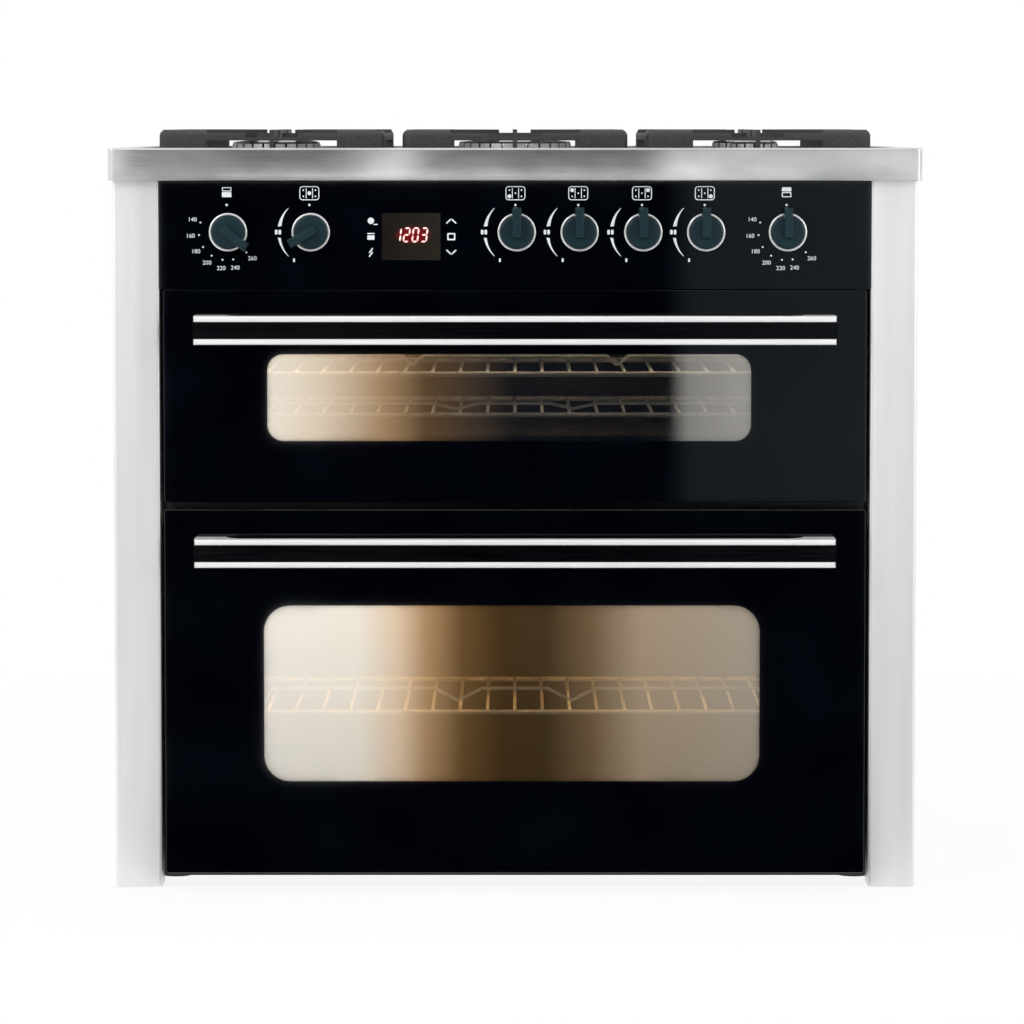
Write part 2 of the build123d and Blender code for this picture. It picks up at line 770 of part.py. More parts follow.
# Gas taps on the rail, held against the carrier; those of the ovens carry a thermostat
tap_bore_depth = 18
thermostat_radius = 15
tap_tail = 6
rail_middle = face + rail_setback
with BuildPart() as gas_taps:
    with BuildSketch(front_plane(carrier_back)):
        with Locations(*knob_points):
            Circle(tap_collar_radius)
    extrude(amount=-tap_collar)
    with BuildSketch(front_plane(carrier_back + tap_collar)):
        for name, x, turn in knob_places:
            with Locations((x, knob_height)):
                Circle(thermostat_radius if name in oven_knobs else tap_radius)
    extrude(amount=-tap_length)
    with BuildSketch(front_plane(carrier_back + tap_collar + tap_length)):
        with Locations(*knob_points):
            Circle(tap_tail)
    extrude(amount=carrier_back + tap_collar + tap_length - rail_middle)
    with BuildSketch(front_plane(carrier_back)):
        with Locations(*knob_points):
            Circle(spindle_radius + running_gap)
    extrude(amount=-tap_bore_depth, mode=Mode.SUBTRACT)
    with BuildSketch(Plane.YZ.offset(-worktop_width / 2)):
        with Locations((rail_middle, knob_height)):
            Circle(rail_radius + pin_fit)
    extrude(amount=worktop_width, mode=Mode.SUBTRACT)
save(gas_taps.part, "gas_taps")

# Gas rail: a pipe along the taps and back to the threaded inlet behind the back panel
rail_plug = 4
nut_radius = 15
nut_length = 7
with BuildPart() as gas_rail:
    for radius, start in ((rail_radius, rail_start), (rail_bore, rail_start + rail_plug)):
        with BuildLine(Plane.XY.offset(knob_height)):
            FilletPolyline(
                (start, rail_middle),
                (inlet_side, rail_middle),
                (inlet_side, panel_back + nut_length + inlet_length),
                radius=rail_bend,
            )
        with BuildSketch(Plane((start, rail_middle, knob_height), x_dir=(0, 1, 0), z_dir=(1, 0, 0))):
            Circle(radius)
        if radius == rail_radius:
            sweep()
            with BuildSketch(front_plane(panel_back)):
                with Locations((inlet_side, knob_height)):
                    RegularPolygon(nut_radius, 6)
            extrude(amount=-nut_length)
            with BuildSketch(front_plane(panel_back + nut_length)):
                with Locations((inlet_side, knob_height)):
                    Circle(inlet_radius)
            extrude(amount=-inlet_length)
        else:
            sweep(mode=Mode.SUBTRACT)
save(gas_rail.part, "gas_rail")

# Spindles and knobs: each spindle is pressed in with its knob, and the knob turns on it
spindle_back = carrier_back + tap_bore_depth - 2 * knob_press  # leaves twice the knob's travel behind it
spindle_tip = 9  # spindle's end in the knob, ahead of the knob's back
socket_depth = 9.5
disc_round = 1.5
grip_clearance = 0.5  # grip clear of the ring when its knob is pressed in
grip_base = ring_height + knob_press + grip_clearance
grip_taper = 4
grip_round = 1.5
for name, x, turn in knob_places:
    with BuildPart() as spindle:
        with BuildSketch(front_plane(spindle_back)):
            with Locations((x, knob_height)):
                Circle(spindle_radius)
        extrude(amount=spindle_back - face + knob_gap + spindle_tip)
    save(spindle.part, f"spindle_{name}")

    way = radians(turn)
    seat = Plane((x, face, knob_height), x_dir=(cos(way), 0, sin(way)), z_dir=(0, -1, 0))
    with BuildPart() as knob:
        with BuildSketch(seat.offset(knob_gap)):
            Circle(knob_radius)
        extrude(amount=disc_height)
        fillet(knob.faces().sort_by(Axis.Y)[0].edges(), disc_round)
        with BuildSketch(seat.offset(grip_base)):
            with Locations((0, (grip_ahead - grip_behind) / 2)):
                RectangleRounded(grip_width, grip_ahead + grip_behind, grip_round)
        extrude(amount=grip_top - grip_base, taper=grip_taper)
        fillet(knob.faces().sort_by(Axis.Y)[0].edges(), grip_round / 2)
        with BuildSketch(seat.offset(knob_gap)):
            Circle(spindle_radius + pin_fit)
        extrude(amount=socket_depth, mode=Mode.SUBTRACT)
    save(knob.part, f"knob_{name}")

# Doors: an outer glass on a folded liner that holds the inner glass and turns on two hinge pins
liner_corner = 8
window_corner = 24
slot_rise = 16  # hinge slots above the hinge axis
lug_round = 6
pin_seat = 0.02
arm_height = 7
arm_foot = 2.5
arm_foot_height = 22
trim_round = 2
bracket_foot = 34  # handle bracket along the glass
bracket_round = 3
liner_width = door_width - 2 * liner_side_inset
hinge_spread = liner_width / 2 - hinge_inset
handle_length = door_width - 2 * handle_inset
hinge_depth = face + pivot_in
bar_back = face - handle_reach + handle_depth
door_layouts = (
    ("upper", upper_door_bottom, upper_door_height, upper_window, upper_window_drop, upper_handle_drop),
    ("lower", door_bottom, lower_door_height, lower_window, lower_window_drop, lower_handle_drop),
)  # name, lower edge, height, window, and how far the window and the handle are below the top
hinge_points = [
    (side * hinge_spread, hinge_depth, bottom + pivot_up)
    for name, bottom, height, window, window_drop, handle_drop in door_layouts
    for side in (-1, 1)
]

with BuildPart() as hinge_brackets:
    for x, y, z in hinge_points:
        with BuildSketch(Plane.YZ.offset(x - bracket_width / 2)):
            with Locations((y, z)):
                Circle(eye_radius)
                Rectangle(frame_front - y, arm_height, align=(Align.MIN, Align.CENTER))
            with Locations((frame_front, z)):
                Rectangle(arm_foot, arm_foot_height, align=(Align.MAX, Align.CENTER))
            with Locations((y, z)):
                Circle(pin_radius + pin_fit, mode=Mode.SUBTRACT)
        extrude(amount=bracket_width)
save(hinge_brackets.part, "hinge_brackets")

for name, bottom, height, window, window_drop, handle_drop in door_layouts:
    middle = bottom + height / 2
    window_height = bottom + height - window_drop
    handle_level = bottom + height - handle_drop
    hinge_height = bottom + pivot_up
    mounts = [x for x, y, z in hinge_points if z == hinge_height]

    with BuildPart() as door_glass:
        with BuildSketch(front_plane(glass_back)):
            with Locations((0, middle)):
                RectangleRounded(door_width, height, glass_corner)
        extrude(amount=glass)
    save(door_glass.part, f"{name}_door_glass")

    with BuildPart() as door_liner:
        with BuildSketch(front_plane(liner_back)):
            with Locations((0, middle)):
                RectangleRounded(liner_width, height - 2 * liner_inset, liner_corner)
        extrude(amount=liner_back - glass_back)
        offset(amount=-sheet, openings=door_liner.faces().sort_by(Axis.Y)[0])
        with BuildSketch(front_plane(liner_back)):
            with Locations((0, window_height)):
                RectangleRounded(window[0] + 2 * window_margin, window[1] + 2 * window_margin, window_corner)
        extrude(amount=sheet, mode=Mode.SUBTRACT)
        with BuildSketch(Plane.XY.offset(bottom + liner_inset)):
            for x in mounts:
                with Locations((x, glass_back)):
                    Rectangle(
                        hinge_slot + 2 * lug_width,
                        hinge_depth + lug_round - glass_back,
                        align=(Align.CENTER, Align.MIN),
                    )
        extrude(amount=hinge_height + lug_round - bottom - liner_inset)
        with BuildSketch(Plane.XY.offset(bottom)):
            for x in mounts:
                with Locations((x, glass_back)):
                    Rectangle(hinge_slot, liner_back - glass_back, align=(Align.CENTER, Align.MIN))
        extrude(amount=pivot_up + slot_rise, mode=Mode.SUBTRACT)
        for x in mounts:
            with BuildSketch(Plane.YZ.offset(x - hinge_slot / 2 - lug_width)):
                with Locations((hinge_depth, hinge_height)):
                    Circle(pin_radius + pin_seat)
            extrude(amount=hinge_slot + 2 * lug_width, mode=Mode.SUBTRACT)
    save(door_liner.part, f"{name}_door_liner")

    with BuildPart() as hinge_pins:
        for x in mounts:
            with BuildSketch(Plane.YZ.offset(x - hinge_slot / 2 - lug_width)):
                with Locations((hinge_depth, hinge_height)):
                    Circle(pin_radius)
            extrude(amount=hinge_slot + 2 * lug_width)
    save(hinge_pins.part, f"{name}_hinge_pins")

    with BuildPart() as inner_glass:
        with BuildSketch(front_plane(liner_back - sheet)):
            with Locations((0, window_height)):
                RectangleRounded(
                    window[0] + 2 * (window_margin + pane_lap),
                    window[1] + 2 * (window_margin + pane_lap),
                    glass_corner,
                )
        extrude(amount=pane)
    save(inner_glass.part, f"{name}_inner_glass")

    with BuildPart() as handle_bar:
        with BuildSketch(front_plane(bar_back)):
            with Locations((0, handle_level)):
                Rectangle(handle_length, handle_height - 2 * trim_height)
        extrude(amount=handle_depth - bar_setback)
    save(handle_bar.part, f"{name}_handle_bar")

    with BuildPart() as handle_trims:
        with BuildSketch(front_plane(bar_back)):
            for side in (-1, 1):
                with Locations((0, handle_level + side * (handle_height - trim_height) / 2)):
                    Rectangle(handle_length, trim_height)
        extrude(amount=handle_depth)
        fillet(handle_trims.faces().group_by(Axis.Y)[0].edges(), trim_round)
    save(handle_trims.part, f"{name}_handle_trims")

    with BuildPart() as handle_brackets:
        with BuildSketch(Plane.XY.offset(handle_level - handle_height / 2)):
            with BuildLine():
                Polyline(
                    (handle_length / 2 - bracket_length, bar_back),
                    (handle_length / 2, bar_back),
                    (handle_length / 2, face),
                    (handle_length / 2 - bracket_foot, face),
                )
                ThreePointArc(
                    (handle_length / 2 - bracket_foot, face),
                    (handle_length / 2 - bracket_foot - bracket_round, (face + bar_back) / 2),
                    (handle_length / 2 - bracket_length, bar_back),
                )
            make_face()
            mirror(about=Plane.YZ)
        extrude(amount=handle_height)
    save(handle_brackets.part, f"{name}_handle_brackets")
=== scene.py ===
# %% [markdown]
# # A double-oven gas cooker
#
# The cooker's rigid pieces come as solids at their real size. This lesson gives each of them its
# finish, adds what is too fine for solids, such as printed scales, lit digits and screws, and sets
# up a camera and soft studio light. One Blender unit is one metre, +Z is up, and the front of the
# cooker looks along -Y.

# %% Load the solids
import json
import math

import bmesh
import bpy
from mathutils import Matrix, Vector


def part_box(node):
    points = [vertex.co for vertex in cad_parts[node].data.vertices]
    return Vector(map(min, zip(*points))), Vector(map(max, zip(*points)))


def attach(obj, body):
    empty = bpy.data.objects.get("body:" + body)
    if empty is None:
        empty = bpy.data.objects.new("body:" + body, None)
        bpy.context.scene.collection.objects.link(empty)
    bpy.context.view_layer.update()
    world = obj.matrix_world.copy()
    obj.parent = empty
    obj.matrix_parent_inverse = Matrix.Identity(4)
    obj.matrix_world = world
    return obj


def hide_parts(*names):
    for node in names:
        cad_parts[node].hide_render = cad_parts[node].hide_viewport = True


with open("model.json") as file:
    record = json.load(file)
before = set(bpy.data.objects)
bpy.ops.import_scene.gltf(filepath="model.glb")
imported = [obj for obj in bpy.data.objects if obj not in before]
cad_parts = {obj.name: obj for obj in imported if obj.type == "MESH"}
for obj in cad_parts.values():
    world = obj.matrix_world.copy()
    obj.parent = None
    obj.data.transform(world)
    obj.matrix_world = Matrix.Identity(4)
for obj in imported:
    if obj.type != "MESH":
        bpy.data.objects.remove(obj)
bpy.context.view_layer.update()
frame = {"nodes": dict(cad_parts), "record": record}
nodes = frame["nodes"]
MM = 0.001

# %% [markdown]
# ## Camera
#
# A catalogue picture is taken from far away through a long lens, so that upright edges stay
# upright. The camera stands level with the pan supports, which so become a low skyline, and looks
# down by a few degrees. Its focal length is given in widths of the sensor.

# %% Camera
eye = Vector((-0.0033, -6.0134, 0.852))
look_down = math.radians(4.2915)
focal_widths = 5.057
camera_data = bpy.data.cameras.new("camera")
camera_data.sensor_width = 36  # mm
camera_data.lens = focal_widths * camera_data.sensor_width
camera = bpy.data.objects.new("camera", camera_data)
camera.location = eye
camera.rotation_euler = (math.pi / 2 - look_down, 0, 0)
bpy.context.scene.collection.objects.link(camera)
bpy.context.scene.camera = camera
bpy.context.scene.view_settings.view_transform = "Standard"
print("lens of", round(camera_data.lens), "mm,", round(-eye.y, 2), "m in front")

# %% [markdown]
# ## Colours and shader nodes
#
# Colours are written as sRGB hex, as a paint chart gives them, and one function turns them into
# the linear values that shader sockets expect. A second function adds a node: a value in `inputs`
# is set on the socket, and a socket in `inputs` is linked to it. Sockets go by their names, or by
# their numbers where a node has several of the same name.


# %% Helpers for nodes
def linear(hex_colour):
    """The linear colour of an sRGB hex value."""
    shares = [int(hex_colour[i:i + 2], 16) / 255 for i in (1, 3, 5)]
    return [c / 12.92 if c <= 0.04045 else ((c + 0.055) / 1.055) ** 2.4 for c in shares] + [1.0]


def feed(tree, receiver, inputs):
    """Set or link a node's inputs."""
    for name, value in inputs.items():
        if isinstance(value, bpy.types.NodeSocket):
            tree.links.new(value, receiver.inputs[name])
        else:
            receiver.inputs[name].default_value = value


def add_node(tree, kind, inputs={}, **settings):
    """Add a shader node with its settings and its inputs."""
    made = tree.nodes.new("ShaderNode" + kind)
    for name, value in settings.items():
        setattr(made, name, value)
    feed(tree, made, inputs)
    return made


def start_material(name, sockets={}):
    """A material with its constant sockets set, its node tree, shader and Object coordinates."""
    material = bpy.data.materials.new(name)
    material.use_nodes = True
    tree = material.node_tree
    shader = tree.nodes["Principled BSDF"]
    feed(tree, shader, sockets)
    place = add_node(tree, "TexCoord").outputs["Object"]
    return material, tree, shader, place


# %% [markdown]
# Nearly every finish drifts: its tone, its gloss and its tiny relief change together, in grains
# that have a real size. So one function makes the grains, one the tone between two colours, and one
# lets gloss and relief follow the grains.

# %% Helpers for finishes
FLOAT_A, FLOAT_B = 2, 3  # numbers of a Mix node's sockets for plain numbers
COLOUR_A, COLOUR_B, COLOUR_OUT = 6, 7, 2  # and for colours
noise_low, noise_high = 0.3, 0.7  # noise hardly ever leaves this range


def grains(tree, place, size, detail=3.0):
    """Smooth noise from 0 to 1 whose grains measure size, in mm along X, Y and Z."""
    scaled = add_node(tree, "Mapping", {"Vector": place, "Scale": [1 / (s * MM) for s in size]})
    noise = add_node(tree, "TexNoise", {"Vector": scaled.outputs[0], "Scale": 1.0, "Detail": detail})
    spread = {"Value": noise.outputs[0], "From Min": noise_low, "From Max": noise_high}
    return add_node(tree, "MapRange", spread).outputs[0]


def tones(tree, share, first, second):
    """A colour between two tones, each of them a hex value or a colour's socket."""
    first, second = (linear(tone) if isinstance(tone, str) else tone for tone in (first, second))
    mixed = add_node(tree, "Mix", {0: share, COLOUR_A: first, COLOUR_B: second}, data_type="RGBA")
    return mixed.outputs[COLOUR_OUT]


def coat(tree, shader, colour, share, roughness, relief, fold=0):
    """Feed a shader its colour, and a gloss and a relief that follow the same grains.

    The relief is the height of the grains in mm, and it bends the light a little. Where a fold is
    given, in mm, edges catch the light as if they were rounded by that much.
    """
    gloss = add_node(tree, "MapRange", {"Value": share, "To Min": roughness[0], "To Max": roughness[1]})
    bump = add_node(tree, "Bump", {"Height": share, "Distance": relief * MM})
    if fold:
        feed(tree, bump, {"Normal": add_node(tree, "Bevel", {"Radius": fold * MM}).outputs[0]})
    feed(tree, shader, {"Base Color": colour, "Roughness": gloss.outputs[0], "Normal": bump.outputs[0]})


def surface(name, dark, light, size, roughness, relief, sockets={}, detail=3.0, fold=0):
    """A finish that drifts between two tones and two glosses in grains of a size in mm."""
    material, tree, shader, place = start_material(name, sockets)
    share = grains(tree, place, size, detail)
    coat(tree, shader, tones(tree, share, dark, light), share, roughness, relief, fold)
    return material


# %% [markdown]
# ## Steel sheet
#
# The posts are belt-ground stainless steel: thousands of fine upright scratches blur every
# reflection into soft vertical bands, and scatter a part of the light as paint does, so the posts
# aren't wholly metallic. The worktop was ground sideways, and its tone drifts in clouds that are
# painted reflections, standing in for the mottled ones its lip shows. The back and the base are
# plain galvanised sheet, where zinc froze into spangles. Real scratches are far thinner than a
# pixel, so they are drawn a few millimetres wide.

# %% Posts and worktop
scratch_share = 0.06  # of the tone; the clouds give the rest
scratch_depth = 0.002  # mm
sheet_fold = 1.5  # mm


def ground_steel(name, dark, light, cloud, scratch, roughness, metallic):
    """Stainless sheet: clouds set the tone, long scratches the gloss, and folded edges shine."""
    material, tree, shader, place = start_material(name, {"Metallic": metallic, "Anisotropic": 0.3})
    clouds = grains(tree, place, cloud, 2.0)
    scratches = grains(tree, place, scratch, 2.0)
    mixed = add_node(tree, "Mix", {0: scratch_share, FLOAT_A: clouds, FLOAT_B: scratches})
    colour = tones(tree, mixed.outputs[0], dark, light)
    coat(tree, shader, colour, scratches, roughness, scratch_depth, sheet_fold)
    return material


post_steel = ground_steel(
    "ground_stainless_steel", "#E2E2E3", "#FBFBFB", cloud=(52, 52, 650), scratch=(2.5, 2.5, 500),
    roughness=(0.34, 0.42), metallic=0.75,
)
# The worktop's darker and lighter clouds of tone are painted reflections.
worktop_steel = ground_steel(
    "stainless_steel_painted_reflection_clouds", "#BEBFC0", "#E6E6E7", cloud=(95, 70, 45), scratch=(400, 2.5, 2.5),
    roughness=(0.13, 0.18), metallic=1.0,
)
print(post_steel.name, "and", worktop_steel.name)

# %% Galvanised sheet
spangle = 9  # mm


def galvanised():
    """Hot-dipped zinc: flat crystals, each with its own grey and gloss."""
    material, tree, shader, place = start_material("galvanised_sheet", {"Metallic": 1.0})
    scaled = add_node(tree, "Mapping", {"Vector": place, "Scale": [1 / (spangle * MM)] * 3})
    crystals = add_node(tree, "TexVoronoi", {"Vector": scaled.outputs[0], "Scale": 1.0})
    share = add_node(tree, "SeparateColor", {"Color": crystals.outputs["Color"]}).outputs[0]
    coat(tree, shader, tones(tree, share, "#9DA2A5", "#C3C7C9"), share, (0.32, 0.5), 0.02)
    return material


zinc = galvanised()
print(zinc.name, "with spangles of", spangle, "mm")

# %% [markdown]
# ## Glass
#
# The panel and the doors are sheets of float glass with black ceramic ink fired on their back, so
# they look like deep, almost blue-black water. The windows carry a thin bronze mirror coat: from
# the front they show mostly what stands before the cooker, and a little of the oven behind.

# %% Black glass, mirror coat and clear glass
black_glass = surface(
    "black_printed_glass", "#010207", "#03060C", size=(90, 90, 90), roughness=(0.03, 0.05), relief=0.002,
    sockets={"IOR": 1.5},
)
mirror_glass = surface(
    "bronze_mirror_glass", "#FFF8EF", "#FFFBF5", size=(60, 60, 60), roughness=(0.03, 0.06), relief=0.002,
    sockets={"Metallic": 1.0, "Alpha": 0.5},
)
clear_glass = surface(
    "clear_float_glass", "#0A0F0D", "#121816", size=(40, 40, 40), roughness=(0.02, 0.05), relief=0.002,
    sockets={"IOR": 1.5, "Alpha": 0.1},
)
print(black_glass.name, mirror_glass.name, clear_glass.name)


# %% Smoked display lens with painted glow
def smoked_lens_with_painted_glow(centre, reach):
    """Smoked acrylic over the clock, nearly black in its own colour, with a painted glow: olive
    brown, paler towards the right, and red round the lit digits.

    The red glow is an oval that reaches so far along X, Y and Z.
    """
    # The lens emits at 0.6 though it is no lamp: a painted glow.
    material, tree, shader, place = start_material(
        "smoked_acrylic_painted_glow", {"Roughness": 0.12, "Emission Strength": 0.6, "Specular IOR Level": 0.3}
    )
    scale = [1 / r for r in reach]
    spot = add_node(tree, "VectorMath", {0: place, 1: centre}, operation="SUBTRACT").outputs[0]
    oval = add_node(tree, "VectorMath", {0: spot, 1: scale}, operation="MULTIPLY").outputs[0]
    away = add_node(tree, "VectorMath", {0: oval}, operation="LENGTH").outputs["Value"]
    # Painted red glow round the digits: full at the oval's middle, gone at its rim.
    fade = {"Value": away, "From Min": 0.55, "From Max": 1.15, "To Min": 1.0, "To Max": 0.0}
    painted_red_glow = add_node(tree, "MapRange", fade, interpolation_type="SMOOTHSTEP").outputs[0]
    # Painted olive-brown glow, paler towards the right.
    side = add_node(tree, "SeparateXYZ", {"Vector": oval}).outputs[0]
    glow_paler_to_right = add_node(tree, "MapRange", {"Value": side, "From Min": -1.6, "From Max": 1.6}).outputs[0]
    painted_glow_tone = tones(tree, glow_paler_to_right, "#1A1818", "#302E27")
    colour = tones(tree, grains(tree, place, (14, 14, 14)), "#0C0907", "#15110D")
    feed(tree, shader, {"Base Color": colour, "Emission Color": tones(tree, painted_red_glow, painted_glow_tone, "#8E1418")})
    return material


lens_low, lens_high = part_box("display_lens")
lens_centre = (lens_low + lens_high) / 2
# The painted red glow sits a little right of and above the lens's middle.
painted_glow_shift = Vector((2, 0, 2)) * MM
lens = smoked_lens_with_painted_glow(lens_centre + painted_glow_shift, reach=(20 * MM, 20 * MM, 10 * MM))
print(lens.name, "round", [round(c, 3) for c in lens_centre])

# %% [markdown]
# ## Enamel, cast iron and plain metals
#
# Vitreous enamel is glass on steel: glossy, with fine pale flecks so that soot doesn't show. The
# ovens are brown and the doors' liners grey. The front frame is black, darker than the ovens'
# enamel as painted shade, so that the gaps round the doors and the band under the lower door stay
# dark. The pan supports are cast iron under matt enamel and keep the sand's grain. The rest are
# shop metals, each with the grain that its making left.


# %% Flecked enamel
def flecked_enamel(name, dark, light, fleck, spacing):
    """Enamel with pale flecks, one in each cell of the spacing, given in mm."""
    material, tree, shader, place = start_material(name, {"Coat Weight": 0.3, "Coat Roughness": 0.08})
    scaled = add_node(tree, "Mapping", {"Vector": place, "Scale": [1 / (spacing * MM)] * 3})
    cells = add_node(tree, "TexVoronoi", {"Vector": scaled.outputs[0], "Scale": 1.0})
    away = cells.outputs["Distance"]
    fade = {"Value": away, "From Min": 0.12, "From Max": 0.2, "To Min": 1.0, "To Max": 0.0}
    flecks = add_node(tree, "MapRange", fade).outputs[0]
    drift = grains(tree, place, (70, 70, 70))
    colour = tones(tree, flecks, tones(tree, drift, dark, light), fleck)
    coat(tree, shader, colour, drift, (0.22, 0.34), 0.03)
    return material


enamel = flecked_enamel("flecked_enamel", "#241C14", "#2E251B", "#443A2E", 4)
liner_enamel = flecked_enamel("grey_enamel_liner", "#2A2B2D", "#37383A", "#6A6B6D", 5)
# Black front frame: darker than the ovens' enamel as painted shade for the gaps round the doors.
black_frame_painted_shade = flecked_enamel("black_enamel_frame_painted_shade", "#08080A", "#0F0F11", "#1A1A1C", 5)
print(enamel.name, liner_enamel.name, black_frame_painted_shade.name)

# %% Castings, wire and shop metals
METAL = {"Metallic": 1.0}
cast_iron = surface(
    "enamelled_cast_iron", "#1C1E20", "#3A3D3F", size=(1.6, 1.6, 1.6), roughness=(0.5, 0.68), relief=0.25,
    fold=1.2,
)
cast_aluminium = surface(
    "cast_aluminium", "#9B9D9E", "#C2C4C4", size=(1.2, 1.2, 1.2), roughness=(0.4, 0.55), relief=0.08,
    sockets=METAL,
)
chrome = surface(
    "satin_chrome_plate", "#EEEFF0", "#FFFFFF", size=(8, 8, 8), roughness=(0.14, 0.22), relief=0.002,
    sockets={"Metallic": 0.45},
)
wire = surface(
    "nickel_wire", "#C2BCAC", "#E0DACA", size=(6, 6, 6), roughness=(0.28, 0.4), relief=0.01,
    sockets={"Metallic": 0.5},
)
satin_aluminium = surface(
    "satin_aluminium", "#EAEAEB", "#F4F4F4", size=(60, 2.5, 2.5), roughness=(0.36, 0.46), relief=0.002,
    sockets={"Metallic": 0.2, "Coat Weight": 0.2, "Coat Roughness": 0.2},
)
brass = surface(
    "turned_brass", "#A88445", "#C9A560", size=(1, 12, 12), roughness=(0.24, 0.36), relief=0.02,
    sockets=METAL,
)
zinc_plate = surface(
    "zinc_plated_steel", "#9FA3A4", "#C4C8C6", size=(5, 5, 5), roughness=(0.28, 0.42), relief=0.01,
    sockets=METAL,
)
metals = (cast_iron, cast_aluminium, chrome, wire, satin_aluminium, brass, zinc_plate)
print(len(metals), "metals:", *(metal.name for metal in metals))

# %% [markdown]
# ## Plastics, rubber, ceramic and wool
#
# The knobs are moulded in a dark teal-grey with a spark-eroded grain. The handle's face is black
# lacquer over an extrusion, so its grain runs along the bar. Behind the panels hide black mouldings,
# a rubber seal, porcelain round each electrode and yellow glass wool round the ovens. The prints on
# the panel are white ceramic ink.

# %% Mouldings, soft stuff and ink
knob_plastic = surface(
    "moulded_teal_abs", "#0B252D", "#143239", size=(1.1, 1.1, 1.1), roughness=(0.3, 0.4), relief=0.02,
    sockets={"IOR": 1.52, "Specular IOR Level": 0.25}, fold=0.9,
)
handle_lacquer = surface(
    "black_lacquer", "#010204", "#05070B", size=(90, 2.5, 2.5), roughness=(0.16, 0.26), relief=0.004,
    sockets={"IOR": 1.5, "Specular IOR Level": 0.15},
)
black_nylon = surface(
    "black_nylon", "#15171A", "#24272A", size=(1.0, 1.0, 1.0), roughness=(0.45, 0.6), relief=0.05,
    sockets={"IOR": 1.53},
)
seal_rubber = surface(
    "silicone_rubber", "#26282B", "#3B3E41", size=(3, 3, 3), roughness=(0.55, 0.7), relief=0.06,
    sockets={"Sheen Weight": 0.15},
)
porcelain = surface(
    "glazed_porcelain", "#DED9CD", "#F0ECE3", size=(7, 7, 7), roughness=(0.12, 0.2), relief=0.01,
    sockets={"Coat Weight": 0.4},
)
glass_wool = surface(
    "glass_wool", "#B9A45E", "#E6D69A", size=(26, 5, 9), roughness=(0.85, 0.95), relief=1.2,
    sockets={"Sheen Weight": 0.3}, detail=6.0,
)
ink = surface(
    "fired_white_ink", "#D5DDE0", "#F2F6F7", size=(1.5, 1.5, 1.5), roughness=(0.45, 0.6), relief=0.01,
)
others = (knob_plastic, handle_lacquer, black_nylon, seal_rubber, porcelain, glass_wool, ink)
print(len(others), "others:", *(other.name for other in others))

# %% [markdown]
# ## Finishes onto the solids
#
# The record that comes with the solids says which finish each of them takes. The front frame is
# listed with the ovens' enamel, but round the doors it shows as a black gap, so it gets the black
# enamel: painted shade that keeps those gaps dark. The solids keep their shape and place: only the
# material in their slots changes.

# %% Assign the finishes
finishes = {
    "stainless_sheet": post_steel,
    "worktop_steel": worktop_steel,
    "galvanised_sheet": zinc,
    "black_glass": black_glass,
    "display_glass": lens,
    "clear_glass": clear_glass,
    "enamel": enamel,
    "door_liner_steel": liner_enamel,
    "chrome_ring": chrome,
    "rack_wire": wire,
    "polished_aluminium": satin_aluminium,
    "burner_aluminium": cast_aluminium,
    "cast_iron": cast_iron,
    "tap_brass": brass,
    "plain_steel": zinc_plate,
    "knob_plastic": knob_plastic,
    "handle_black": handle_lacquer,
    "black_plastic": black_nylon,
    "seal_rubber": seal_rubber,
    "spark_ceramic": porcelain,
    "glass_wool": glass_wool,
}
# The front frame's black enamel is painted shade for the gaps round the doors.
own_finishes = {"front_frame": black_frame_painted_shade}
for row in frame["record"]["subparts"]:
    finish = own_finishes.get(row["node"], finishes[row["material_slot"]])
    for material_slot in nodes[row["node"]].material_slots:
        material_slot.material = finish
print(len(finishes) + len(own_finishes), "finishes on", len(nodes), "solids")

# %% [markdown]
# ## Flat pieces
#
# Glass sheets and prints are all flat shapes with a thickness. Each is drawn lying down, in X and Y,
# extruded upwards, and then stood up so that its top looks out of the front. A rounded rectangle is
# a four-cornered face whose corners are bevelled.


# %% Helpers for flat shapes
def rounded_face(bm, centre, size, radius, segments=8):
    """A flat rectangle with rounded corners."""
    known = set(bm.faces)
    corners = [
        bm.verts.new((centre[0] + side * size[0] / 2, centre[1] + end * size[1] / 2, 0))
        for side, end in ((-1, -1), (1, -1), (1, 1), (-1, 1))
    ]
    bm.faces.new(corners)
    bmesh.ops.bevel(
        bm, geom=corners, offset=radius, segments=segments, profile=0.5, affect="VERTICES", material=-1
    )
    return (set(bm.faces) - known).pop()


def frame_face(bm, outer, inner):
    """Turn an outer and an inner face into the flat frame between them."""
    rims = list(outer.edges) + list(inner.edges)
    bmesh.ops.delete(bm, geom=[outer, inner], context="FACES_ONLY")
    return bmesh.ops.bridge_loops(bm, edges=rims)["faces"]


def bar_face(bm, start, end, width):
    """A flat bar with round ends between two points."""
    run = Vector(end) - Vector(start)
    face = rounded_face(bm, (0, 0), (run.length + width, width), width * 0.45, 4)
    turn = Matrix.Rotation(math.atan2(run.y, run.x), 4, "Z")
    middle = (Vector(start) + Vector(end)) / 2
    bmesh.ops.transform(bm, matrix=Matrix.Translation((*middle, 0)) @ turn, verts=face.verts)


def dot_face(bm, centre, radius):
    """A flat disc."""
    place = Matrix.Translation((*centre, 0))
    bmesh.ops.create_circle(bm, cap_ends=True, segments=20, radius=radius, matrix=place)


# %% Helpers to finish flat pieces
def thicken(bm, height, faces=None):
    """Extrude flat faces, or else all of them, upwards, and give back the raised vertices."""
    made = bmesh.ops.extrude_face_region(bm, geom=faces or bm.faces[:])["geom"]
    raised = [part for part in made if isinstance(part, bmesh.types.BMVert)]
    bmesh.ops.translate(bm, verts=raised, vec=(0, 0, height))
    return raised


